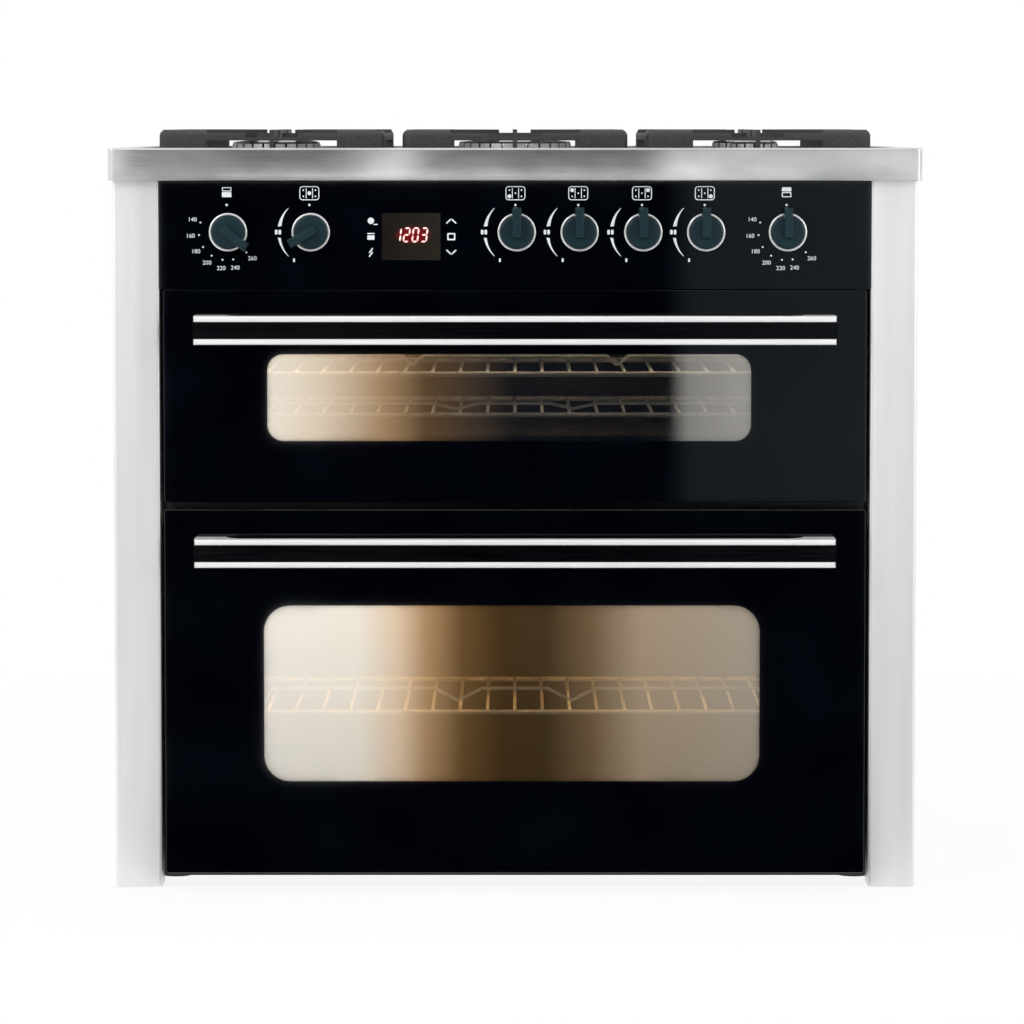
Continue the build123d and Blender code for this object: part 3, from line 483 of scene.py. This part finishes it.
def stand_up(bm, depth):
    """Stand a flat piece up with its underside at that depth and its top towards the front."""
    upright = Matrix.Rotation(math.pi / 2, 4, "X")
    bmesh.ops.transform(bm, matrix=Matrix.Translation((0, depth, 0)) @ upright, verts=bm.verts)


def keep(bm, name, materials, body):
    """Make a finished bmesh a piece that rides on a body."""
    bmesh.ops.recalc_face_normals(bm, faces=bm.faces)
    mesh = bpy.data.meshes.new(name)
    bm.to_mesh(mesh)
    bm.free()
    for material in materials:
        mesh.materials.append(material)
    piece = bpy.data.objects.new(name, mesh)
    bpy.context.scene.collection.objects.link(piece)
    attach(piece, body)
    print(name, "has", len(mesh.polygons), "faces and rides on", body)
    return piece


# %% [markdown]
# ## Door glass
#
# Each door's outer glass is one sheet with a black printed border and a mirrored window. A frame
# between two rounded loops makes the border, with its outer edges ground to a small bevel, and a
# pane fills the hole flush with it. The mirror coat is on the front face alone; the rest of the
# pane is clear. The inner glass laps the window by a known margin on every side, which gives the
# window's size. The print sits a little to the left of the middle.

# %% Sizes of the door glass
inner_lap = 20 * MM
ground_edge = 0.9 * MM
sheet_corner = 3 * MM
rim_reach = 4 * MM  # vertices this near to the outline are on the rim
print_gap = 0.1 * MM
window_corners = {"upper": 18 * MM, "lower": 29 * MM}
window_shifts = {"upper": -6.5 * MM, "lower": -3.5 * MM}


def on_rim(vert, middle, size):
    """Whether a vertex of a sheet that lies down is at the sheet's outline."""
    past_side = abs(vert.co.x - middle.x) - size[0] / 2
    past_end = abs(vert.co.y - middle.z) - size[1] / 2
    return max(past_side, past_end) > -rim_reach


def is_sharp_rim(edge, middle, size):
    """Whether an edge runs along the outline, at the front or the back of the sheet."""
    level = edge.verts[0].co.z == edge.verts[1].co.z
    return level and edge.calc_face_angle(0) > 1 and any(on_rim(vert, middle, size) for vert in edge.verts)


# %% Door glass
for door, shift in window_shifts.items():
    corner = window_corners[door]
    glass_low, glass_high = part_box(f"{door}_door_glass")
    pane_low, pane_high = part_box(f"{door}_inner_glass")
    middle = (glass_low + glass_high) / 2
    sheet_size = (glass_high.x - glass_low.x, glass_high.z - glass_low.z)
    thickness = glass_high.y - glass_low.y
    window_middle = ((pane_low.x + pane_high.x) / 2 + shift, (pane_low.z + pane_high.z) / 2)
    window = (pane_high.x - pane_low.x - 2 * inner_lap, pane_high.z - pane_low.z - 2 * inner_lap)

    border = bmesh.new()
    outline = rounded_face(border, (middle.x, middle.z), sheet_size, sheet_corner)
    frame_face(border, outline, rounded_face(border, window_middle, window, corner))
    thicken(border, thickness)
    border.normal_update()
    rim = [edge for edge in border.edges if is_sharp_rim(edge, middle, sheet_size)]
    bmesh.ops.bevel(
        border, geom=rim, offset=ground_edge, segments=3, profile=0.5, affect="EDGES", material=-1
    )
    stand_up(border, glass_high.y)
    border_piece = keep(border, f"{door}_glass_border", [black_glass], f"{door}_door")
    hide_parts(f"{door}_door_glass")

    pane = bmesh.new()
    pane_size = (window[0] - 2 * print_gap, window[1] - 2 * print_gap)
    rounded_face(pane, window_middle, pane_size, corner - print_gap)
    thicken(pane, thickness)
    pane.normal_update()
    for face in pane.faces:
        is_front = face.calc_center_median().z > thickness / 2 and abs(face.normal.z) > 0.5
        face.material_index = 0 if is_front else 1
    stand_up(pane, glass_high.y)
    keep(pane, f"{door}_window_pane", [mirror_glass, clear_glass], f"{door}_door")

# %% [markdown]
# ## Printed scales
#
# White ink is fired on the panel's face round every knob. The oven knobs have a thermostat scale:
# numbers that turn anticlockwise from the top. The burner knobs have two crescents that thin out
# from a pair of flame dots, from large flame to small. Above each knob a pictogram shows what it
# works. The ink is a fifth of a millimetre high, so that it stays clear of the glass from any side.

# %% Helpers for numbers and crescents
ink_height = 0.2 * MM
digit_share = 0.69  # height of a digit in the built-in font, as a share of the font's size


def around(centre, radius, angle):
    """The point at a radius and at degrees anticlockwise from the top."""
    turn = math.radians(angle)
    return centre[0] - radius * math.sin(turn), centre[1] + radius * math.cos(turn)


def number_face(bm, digits, centre, height):
    """Flat digits in the built-in font."""
    curve = bpy.data.curves.new("digits", "FONT")
    curve.body = digits
    curve.size = height / digit_share
    curve.align_x = "CENTER"
    curve.align_y = "CENTER"
    curve.resolution_u = 3
    text = bpy.data.objects.new("digits", curve)
    bpy.context.scene.collection.objects.link(text)
    bpy.context.view_layer.update()
    flat = bpy.data.meshes.new_from_object(text.evaluated_get(bpy.context.evaluated_depsgraph_get()))
    flat.transform(Matrix.Translation((*centre, 0)))
    bm.from_mesh(flat)
    bpy.data.objects.remove(text)
    bpy.data.curves.remove(curve)
    bpy.data.meshes.remove(flat)


def crescent_face(bm, centre, radius, start, end, thin, thick, steps=14):
    """A flat crescent round a centre, thin at its start and thick at its end, in degrees."""
    known = set(bm.edges)
    for depth, drift in ((0, 0), (thin, thick - thin)):
        first = bm.verts.new((*around(centre, radius - depth, start), 0))
        inward = around((0, 0), -drift / steps, (start + end) / 2)
        bmesh.ops.spin(
            bm, geom=[first], cent=(*centre, 0), axis=(0, 0, 1), angle=math.radians(end - start),
            steps=steps, dvec=(*inward, 0),
        )
    bmesh.ops.bridge_loops(bm, edges=list(set(bm.edges) - known))


# %% Helpers for pictograms
map_outer, map_inner = (22 * MM, 15.5 * MM), (20 * MM, 13.5 * MM)
map_outer_corner, map_inner_corner = 3.5 * MM, 2.5 * MM
map_column, map_half_bar, map_bar = 3.5 * MM, 5.2 * MM, 0.9 * MM
map_pitch = (6.7 * MM, 3.4 * MM)
lit_dot, plain_dot = 2.2 * MM, 0.9 * MM
burner_rows = {
    "centre_burner": (0, 0),
    "front_left": (-1, -1),
    "rear_left": (-1, 1),
    "rear_right": (1, 1),
    "front_right": (1, -1),
}
oven_width, oven_wall = 10.5 * MM, 1 * MM
oven_rows = {"top_oven": (4.3 * MM, 4.6 * MM), "main_oven": (-1.6 * MM, 5.6 * MM)}  # lift and height


def burner_map_face(bm, centre, lit):
    """A pictogram of the hob: a frame with three columns and five dots, the knob's own dot larger."""
    outer = rounded_face(bm, centre, map_outer, map_outer_corner)
    frame_face(bm, outer, rounded_face(bm, centre, map_inner, map_inner_corner))
    for side in (-1, 1):
        x = centre[0] + side * map_column
        bar_face(bm, (x, centre[1] - map_half_bar), (x, centre[1] + map_half_bar), map_bar)
    for name, (column, row) in burner_rows.items():
        spot = (centre[0] + column * map_pitch[0], centre[1] + row * map_pitch[1])
        dot_face(bm, spot, lit_dot if name == lit else plain_dot)


def oven_map_face(bm, centre, lit):
    """A pictogram of two stacked ovens: the knob's own oven is filled, the other is an outline."""
    for name, (lift, height) in oven_rows.items():
        spot = (centre[0], centre[1] + lift)
        filled = rounded_face(bm, spot, (oven_width, height), 0.8 * MM)
        if name != lit:
            hole = (oven_width - 2 * oven_wall, height - 2 * oven_wall)
            frame_face(bm, filled, rounded_face(bm, spot, hole, 0.4 * MM))


# %% Sizes of the scales
panel_low, panel_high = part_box("control_panel")
panel_front = panel_low.y
print_shift = 1.5 * MM  # the knobs sit a little to the right in their scales
top_ring, mark_ring, number_ring, map_ring = 30 * MM, 31 * MM, 40.5 * MM, 43 * MM
number_height = 4.6 * MM
thermostat_marks = {"140": 70, "160": 96, "180": 122, "200": 147, "220": 171, "240": 193, "260": 224}
flame_ring = 35.5 * MM
large_arc, small_arc, small_flame = (41, 80), (139, 100), 151  # degrees from the top
flame_pair = (36.8 * MM, 32.8 * MM)  # to the left of the knob's centre
knob_names = (
    "main_oven", "centre_burner", "front_left", "rear_left", "rear_right", "front_right", "top_oven",
)
print(len(knob_names), "scales on the panel's face at", round(panel_front, 3))

# %% Scales round the knobs
for knob in knob_names:
    low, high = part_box(f"spindle_{knob}")
    hub = ((low.x + high.x) / 2 - print_shift, (low.z + high.z) / 2)
    scale = bmesh.new()
    dot_face(scale, around(hub, top_ring, 0), 1.3 * MM)
    if "oven" in knob:
        oven_map_face(scale, around(hub, map_ring, 0), knob)
        for digits, angle in thermostat_marks.items():
            dot_face(scale, around(hub, mark_ring, angle), 1.0 * MM)
            number_face(scale, digits, around(hub, number_ring, angle), number_height)
    else:
        burner_map_face(scale, around(hub, map_ring, 0), knob)
        crescent_face(scale, hub, flame_ring, *large_arc, 0.5 * MM, 4.2 * MM)
        crescent_face(scale, hub, flame_ring, *small_arc, 0.5 * MM, 3.4 * MM)
        for left in flame_pair:
            x = hub[0] - left
            bar_face(scale, (x, hub[1] - 1.2 * MM), (x, hub[1] + 1.2 * MM), 3.0 * MM)
        x, z = around(hub, flame_ring, small_flame)
        bar_face(scale, (x, z - 1.0 * MM), (x, z + 1.0 * MM), 2.2 * MM)
    thicken(scale, ink_height)
    stand_up(scale, panel_front)
    keep(scale, f"print_{knob}", [ink], "cabinet")

# %% [markdown]
# ## Clock
#
# The clock shows the time in slanted seven-segment digits behind a smoked lens. Every segment is a
# stretched hexagon. Left and right of the lens are small symbols for its touch keys.

# %% Lit digits
segment_places = {
    "a": ((0, 1), 0), "b": ((0.5, 0.5), 90), "c": ((0.5, -0.5), 90), "d": ((0, -1), 0),
    "e": ((-0.5, -0.5), 90), "f": ((-0.5, 0.5), 90), "g": ((0, 0), 0),
}
digit_segments = {"1": "bc", "2": "abged", "0": "abcdef", "3": "abgcd"}
digit_size = (5.8 * MM, 7.4 * MM)  # width, and half the height, between the lines of the segments
digit_pitch = 9.7 * MM
digit_lift = 2 * MM
segment_gap, segment_half = 0.5 * MM, 1.1 * MM
slant = Matrix.Identity(4)
slant[0][1] = 0.12  # sideways for each step up
lit = bmesh.new()
for place, digit in zip((-1.5, -0.5, 0.5, 1.5), "1203"):
    for segment in digit_segments[digit]:
        (across, up), angle = segment_places[segment]
        length = (digit_size[0] if angle == 0 else digit_size[1]) - segment_gap
        spot = Matrix.Translation((place * digit_pitch + across * digit_size[0], up * digit_size[1], 0))
        stretch = Matrix.Diagonal((length / 2, segment_half, 1, 1))
        hexagon = spot @ Matrix.Rotation(math.radians(angle), 4, "Z") @ stretch
        bmesh.ops.create_circle(lit, cap_ends=True, segments=6, radius=1, matrix=hexagon)
bmesh.ops.transform(lit, matrix=slant, verts=lit.verts)
bmesh.ops.translate(lit, verts=lit.verts, vec=(lens_centre.x, lens_centre.z + digit_lift, 0))
thicken(lit, ink_height)
stand_up(lit, lens_low.y)

glow, glow_tree, glow_shader, glow_place = start_material(
    "lit_red_segment", {"Roughness": 0.5, "Emission Strength": 1.6}
)
glow_share = grains(glow_tree, glow_place, (6, 6, 6))
feed(glow_tree, glow_shader, {
    "Base Color": tones(glow_tree, glow_share, "#3A0A0A", "#4A0E0C"),
    "Emission Color": tones(glow_tree, glow_share, "#FFB4AE", "#FFD8D4"),
})
keep(lit, "clock_digits", [glow], "cabinet")

# %% Touch keys right of the clock
key_offset = lens_high.x - lens_centre.x + 12 * MM
key_pitch = 17.5 * MM
key_line = 1.5 * MM
left, right = lens_centre.x - key_offset, lens_centre.x + key_offset
level = lens_centre.z
keys = bmesh.new()
for row in (-1, 1):
    tip = (right, level + row * (key_pitch + 2.2 * MM))
    for side in (-1, 1):
        bar_face(keys, tip, (right + side * 5 * MM, tip[1] - row * 4.6 * MM), key_line)
key_square = rounded_face(keys, (right, level), (9 * MM, 8 * MM), 1 * MM)
frame_face(keys, key_square, rounded_face(keys, (right, level), (5.8 * MM, 4.8 * MM), 0.5 * MM))
print("up, down and set keys at x", round(right, 3))

# %% Touch keys left of the clock
bell = level + key_pitch
dot_face(keys, (left, bell), 3.6 * MM)
bar_face(keys, (left + 3.5 * MM, bell - 4 * MM), (left + 7 * MM, bell - 4 * MM), 1.2 * MM)
pot_lid = level + 3.4 * MM
rounded_face(keys, (left, level - 1 * MM), (8 * MM, 5 * MM), 0.8 * MM)
bar_face(keys, (left - 3.5 * MM, pot_lid), (left + 3.5 * MM, pot_lid), 1.2 * MM)
flash = level - key_pitch
bar_face(keys, (left + 1.6 * MM, flash + 4.2 * MM), (left - 1.4 * MM, flash), key_line)
bar_face(keys, (left + 1.4 * MM, flash), (left - 1.6 * MM, flash - 4.2 * MM), key_line)
thicken(keys, ink_height)
stand_up(keys, panel_front)
keep(keys, "touch_key_symbols", [ink], "cabinet")

# %% [markdown]
# ## Small metal parts
#
# Thin black caps close the handles' ends, and hexagon washer-head screws hold the back: a column in
# each side panel's rear flange and two in the back panel's middle. A screw is a six-sided prism on a
# round washer.

# %% Handle end caps
cap_thickness = 0.8 * MM
cap_corner = 2 * MM
sideways = Matrix.Rotation(math.pi / 2, 4, "Y") @ Matrix.Rotation(math.pi / 2, 4, "Z")
for door in ("upper", "lower"):
    trim_low, trim_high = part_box(f"{door}_handle_trims")
    depth, height = trim_high.y - trim_low.y, trim_high.z - trim_low.z
    middle_y, middle_z = (trim_low.y + trim_high.y) / 2, (trim_low.z + trim_high.z) / 2
    caps = bmesh.new()
    for x in (trim_low.x - cap_thickness, trim_high.x):
        cap = rounded_face(caps, (0, 0), (depth, height), cap_corner)
        foot = list(cap.verts)
        raised = thicken(caps, cap_thickness, [cap])
        spot = Matrix.Translation((x, middle_y, middle_z)) @ sideways
        bmesh.ops.transform(caps, matrix=spot, verts=foot + raised)
    keep(caps, f"{door}_handle_end_caps", [handle_lacquer], f"{door}_door")

# %% Screws at the back
screw_inset = 12 * MM
screw_shares = (0, 0.33, 0.67, 1)  # of the way up
washer = {"radius": 5 * MM, "sides": 24, "foot": 0, "top": 1 * MM}
head = {"radius": 3.6 * MM, "sides": 6, "foot": 1 * MM, "top": 4 * MM}
back_low, back_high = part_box("back_panel")
flange_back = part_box("side_panel_left")[1].y
flange_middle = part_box("side_panel_right")[1].x - 10 * MM
span = back_high.z - back_low.z - 2 * screw_inset
rows = [back_low.z + screw_inset + share * span for share in screw_shares]
screw_places = [(side * flange_middle, flange_back, z) for side in (-1, 1) for z in rows]
screw_places += [(0, back_high.y, z) for z in (rows[0], rows[-1])]
screws = bmesh.new()
for place in screw_places:
    spot = Matrix.Translation(place) @ Matrix.Rotation(-math.pi / 2, 4, "X")
    for part in (washer, head):
        disc = bmesh.ops.create_circle(
            screws, cap_ends=True, segments=part["sides"], radius=part["radius"]
        )["verts"]
        raised = thicken(screws, part["top"] - part["foot"], disc[0].link_faces[:])
        lifted = spot @ Matrix.Translation((0, 0, part["foot"]))
        bmesh.ops.transform(screws, matrix=lifted, verts=disc + raised)
keep(screws, "back_panel_screws", [zinc_plate], "cabinet")
print(len(screw_places), "screws")

# %% [markdown]
# ## Studio
#
# The floor is pale and keeps a soft contact shadow. The world is white to the camera and to metal
# and glass, and dimmer as a light, so that the lamps model the shapes: a key lamp from the left, a
# weaker fill from the right and one above. The lamp above and the small ones in the ovens are kept
# out of reflections, where they would glare.


# %% World
def to_the_eye(tree):
    """1 for rays of the camera, of reflections and through glass, 0 for rays that gather light."""
    path = add_node(tree, "LightPath").outputs
    seen = path["Is Camera Ray"]
    for kind in ("Is Glossy Ray", "Is Transmission Ray"):
        seen = add_node(tree, "Math", {0: seen, 1: path[kind]}, operation="MAXIMUM").outputs[0]
    return seen


WHITE = (1, 1, 1, 1)
fill_light = 0.6
world = bpy.data.worlds.new("studio")
bpy.context.scene.world = world
world.use_nodes = True
sky = world.node_tree
strength = add_node(sky, "MapRange", {"Value": to_the_eye(sky), "To Min": fill_light, "To Max": 1.0})
feed(sky, sky.nodes["Background"], {"Color": WHITE, "Strength": strength.outputs[0]})
print("a white world that lights at", fill_light)


# %% Floor
def stage_piece(bm, name, material):
    """Make a finished bmesh a piece of the stage, which isn't part of the cooker."""
    mesh = bpy.data.meshes.new(name)
    bm.to_mesh(mesh)
    bm.free()
    mesh.materials.append(material)
    piece = bpy.data.objects.new(name, mesh)
    bpy.context.scene.collection.objects.link(piece)
    return piece


floor_half = 12  # m
floor_paint = bpy.data.materials.new("matt_white_floor")
floor_paint.use_nodes = True
paint_tree = floor_paint.node_tree
paint_tree.nodes.remove(paint_tree.nodes["Principled BSDF"])
matt = add_node(paint_tree, "BsdfDiffuse", {"Color": linear("#F4F4F4")})
shine = add_node(paint_tree, "Emission", {"Color": WHITE, "Strength": 1.0})
spot = add_node(paint_tree, "TexCoord").outputs["Object"]
away = add_node(paint_tree, "VectorMath", {0: spot}, operation="LENGTH").outputs["Value"]
# Near the cooker less of the floor shines by itself, so that the shadow shows.
near_to_far = {"Value": away, "From Min": 0.6, "From Max": 2.2, "To Min": 0.88, "To Max": 1.0}
bright = add_node(paint_tree, "MapRange", near_to_far).outputs[0]
lift = add_node(paint_tree, "Math", {0: to_the_eye(paint_tree), 1: bright}, operation="MULTIPLY")
paint = add_node(paint_tree, "MixShader", {0: lift.outputs[0], 1: matt.outputs[0], 2: shine.outputs[0]})
feed(paint_tree, paint_tree.nodes["Material Output"], {"Surface": paint.outputs[0]})
ground = bmesh.new()
bmesh.ops.create_grid(ground, x_segments=1, y_segments=1, size=floor_half)
stage_piece(ground, "floor", floor_paint)
print("a floor of", 2 * floor_half, "m")


# %% Lamps
def area_lamp(name, place, aim, size, watts, colour="#FFFFFF", mirrored=True):
    """A soft rectangular lamp that looks at a point, with or without a reflection in metal and glass."""
    data = bpy.data.lights.new(name, "AREA")
    data.shape = "RECTANGLE"
    data.size, data.size_y = size
    data.energy = watts
    data.color = linear(colour)[:3]
    lamp = bpy.data.objects.new(name, data)
    lamp.location = place
    lamp.rotation_euler = (Vector(aim) - Vector(place)).to_track_quat("-Z", "Y").to_euler()
    lamp.visible_camera = False
    lamp.visible_glossy = mirrored
    bpy.context.scene.collection.objects.link(lamp)


area_lamp("key", place=(-2.2, -2.6, 2.4), aim=(0, 0, 0.5), size=(1.6, 1.6), watts=47)
area_lamp("fill", place=(2.6, -2.2, 1.6), aim=(0, 0, 0.4), size=(1.6, 1.6), watts=26)
area_lamp("top", place=(0, 0.2, 3.0), aim=(0, 0, 0.8), size=(1.8, 1.2), watts=30, mirrored=False)
for oven, watts, tint in (("upper", 1.5, "#FFEBD2"), ("lower", 3.6, "#FFC680")):
    low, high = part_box(f"{oven}_cavity")
    place, aim = (0, low.y + 50 * MM, high.z - 12 * MM), (0, low.y + 170 * MM, low.z)
    area_lamp(f"{oven}_oven_glow", place, aim, (0.56, 0.08), watts, tint, mirrored=False)
print("five lamps, two of them in the ovens")

# %% [markdown]
# ## Reflection cards
#
# A product photographer puts cards in front of black glass, because glass shows whatever stands
# there. A black card and one on the floor keep the panel and the doors deep, and a grey one gives
# their right-hand side a sheen. Two graded cards, seen in the windows alone, give the mirror coat
# something to show, and two low ones shade the worktop's lip and its lower edge. The cards show in
# reflections only.

# %% Helpers for cards
glass_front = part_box("upper_door_glass")[0].y


def paper(name, low, high, shades, strength):
    """Shining paper, from low to high in x and z.

    The shades from left to right are pairs of a share of the way and a hex colour. The strength is
    that at the foot and that at the top.
    """
    material = bpy.data.materials.new(name + "_paper")
    material.use_nodes = True
    tree = material.node_tree
    tree.nodes.remove(tree.nodes["Principled BSDF"])
    place = add_node(tree, "TexCoord").outputs["Object"]
    x, _, z = add_node(tree, "SeparateXYZ", {"Vector": place}).outputs
    share = add_node(tree, "MapRange", {"Value": x, "From Min": low[0], "From Max": high[0]}).outputs[0]
    upwards = {
        "Value": z, "From Min": low[1], "From Max": high[1], "To Min": strength[0], "To Max": strength[1],
    }
    shine = add_node(tree, "MapRange", upwards).outputs[0]
    ramp = add_node(tree, "ValToRGB", {0: share})
    stops = ramp.color_ramp.elements  # a new ramp already has two
    for index, (way, colour) in enumerate(shades):
        stop = stops[index] if index < 2 else stops.new(way)
        stop.position = way
        stop.color = linear(colour)
    light = add_node(tree, "Emission", {"Color": ramp.outputs[0], "Strength": shine})
    feed(tree, tree.nodes["Material Output"], {"Surface": light.outputs[0]})
    return material


def for_reflections(piece):
    """Let a stage piece show in reflections alone."""
    piece.visible_camera = False
    piece.visible_diffuse = False
    piece.visible_transmission = False
    piece.visible_shadow = False


def card(name, low, high, ahead, shades, strength, corner=1 * MM):
    """A card, so far ahead of the glass, that fills the place from low to high in the mirror.

    Low and high are x and z on the glass. The shades are pairs of an x on the glass, in mm, and a
    hex colour, and the strength is that at the foot and that at the top. Seen in a mirror, a thing
    farther away must be larger to fill the same place.
    """
    growth = 1 + ahead / (glass_front - eye.y)
    left, right = (eye.x + (x - eye.x) * growth for x in (low[0], high[0]))
    bottom, top = (eye.z + (z - eye.z) * growth for z in (low[1], high[1]))
    middle, size = ((left + right) / 2, (bottom + top) / 2), (right - left, top - bottom)
    sheet = bmesh.new()
    rounded_face(sheet, middle, size, corner * growth)
    stand_up(sheet, glass_front - ahead)
    shares = [((x * MM - low[0]) / (high[0] - low[0]), colour) for x, colour in shades]
    sheet_paper = paper(name, (left, bottom), (right, top), shares, strength)
    for_reflections(stage_piece(sheet, name, sheet_paper))
    print(name, "is", round(size[0], 2), "by", round(size[1], 2), "m")


# %% Cards in the windows
card_ahead = 0.9
window_shades = {
    "upper": (
        (-275, "#F2EDE4"), (-215, "#DDD0BE"), (-150, "#A68A6C"), (-100, "#57442F"), (-45, "#38302A"),
        (-5, "#10131A"), (172, "#05090F"), (192, "#808283"), (262, "#9C9C9C"),
    ),
    "lower": (
        (-280, "#F4F2EE"), (-175, "#F0EEE6"), (-130, "#E0CAB2"), (-100, "#AC8D69"), (-60, "#644D2F"),
        (-15, "#3E2F1A"), (35, "#3D311F"), (85, "#6A5942"), (140, "#9F907C"), (272, "#A39C91"),
    ),
}
window_strength = {"upper": (1.9, 1.9), "lower": (1.45, 2.0)}
for door, shades in window_shades.items():
    low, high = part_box(f"{door}_inner_glass")
    place = (shades[0][0] * MM, low.z + inner_lap), (shades[-1][0] * MM, high.z - inner_lap)
    card(f"{door}_card", *place, card_ahead, shades, window_strength[door], window_corners[door])

# %% Grey and black cards
card_gap = 0.02  # from one card to the next behind it
black_ahead = card_ahead + 2 * card_gap
plain = (1.0, 1.0)
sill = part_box("upper_door_glass")[0].z
panel_top, panel_end = panel_high.z, panel_high.x
grey_start = 165  # mm
grey_shades = ((grey_start, "#05090E"), (180, "#4A5257"), (196, "#7C868B"), (393, "#8C969A"))
grey_place = (grey_start * MM, sill), (panel_end, panel_top)
card("grey_card", *grey_place, card_ahead + card_gap, grey_shades, plain)
black_shades = ((-393, "#03060A"), (393, "#05090E"))
card("black_card", (-panel_end, -0.02), (panel_end, panel_top), black_ahead, black_shades, plain)

# %% Cards for the worktop's lip
lip_half = 0.45
lip_foot = panel_top + 1 * MM
lip_shades = (
    (-450, "#F4F4F4"), (-425, "#848484"), (-355, "#9A9A9A"), (-290, "#707070"), (-190, "#868686"),
    (-130, "#D0D0D0"), (-90, "#808080"), (90, "#727272"), (150, "#848484"), (180, "#D4D4D4"),
    (340, "#BEBEBE"), (450, "#E4E4E4"),
)
lip_place = (-lip_half, lip_foot), (lip_half, panel_top + 120 * MM)
card("lip_card", *lip_place, 0.3, lip_shades, (1.7, 0.1))
edge_shades = (
    (-450, "#808080"), (-330, "#BEBEBE"), (-133, "#E2E2E2"), (90, "#DADADA"), (266, "#EAEAEA"),
    (330, "#A0A0A0"), (450, "#808080"),
)
edge_place = (-lip_half, lip_foot), (lip_half, panel_top + 9 * MM)
card("lip_edge_card", *edge_place, 0.28, edge_shades, (3.2, 1.2))

# %% Card on the floor
carpet_near = 0.02
widening = 1 + black_ahead / (glass_front - eye.y)
far_end = panel_end * widening
carpet = bmesh.new()
for x, ahead in (
    (-panel_end, carpet_near), (panel_end, carpet_near), (far_end, black_ahead), (-far_end, black_ahead),
):
    carpet.verts.new((x, glass_front - ahead, 1 * MM))
bmesh.ops.contextual_create(carpet, geom=carpet.verts)
carpet_shades = ((0, "#03060A"), (1, "#05090E"))
carpet_paper = paper("floor_card", (-panel_end, 0), (panel_end, 1), carpet_shades, plain)
for_reflections(stage_piece(carpet, "floor_card", carpet_paper))
print("floor_card lies from", carpet_near, "to", round(black_ahead, 2), "m ahead of the glass")
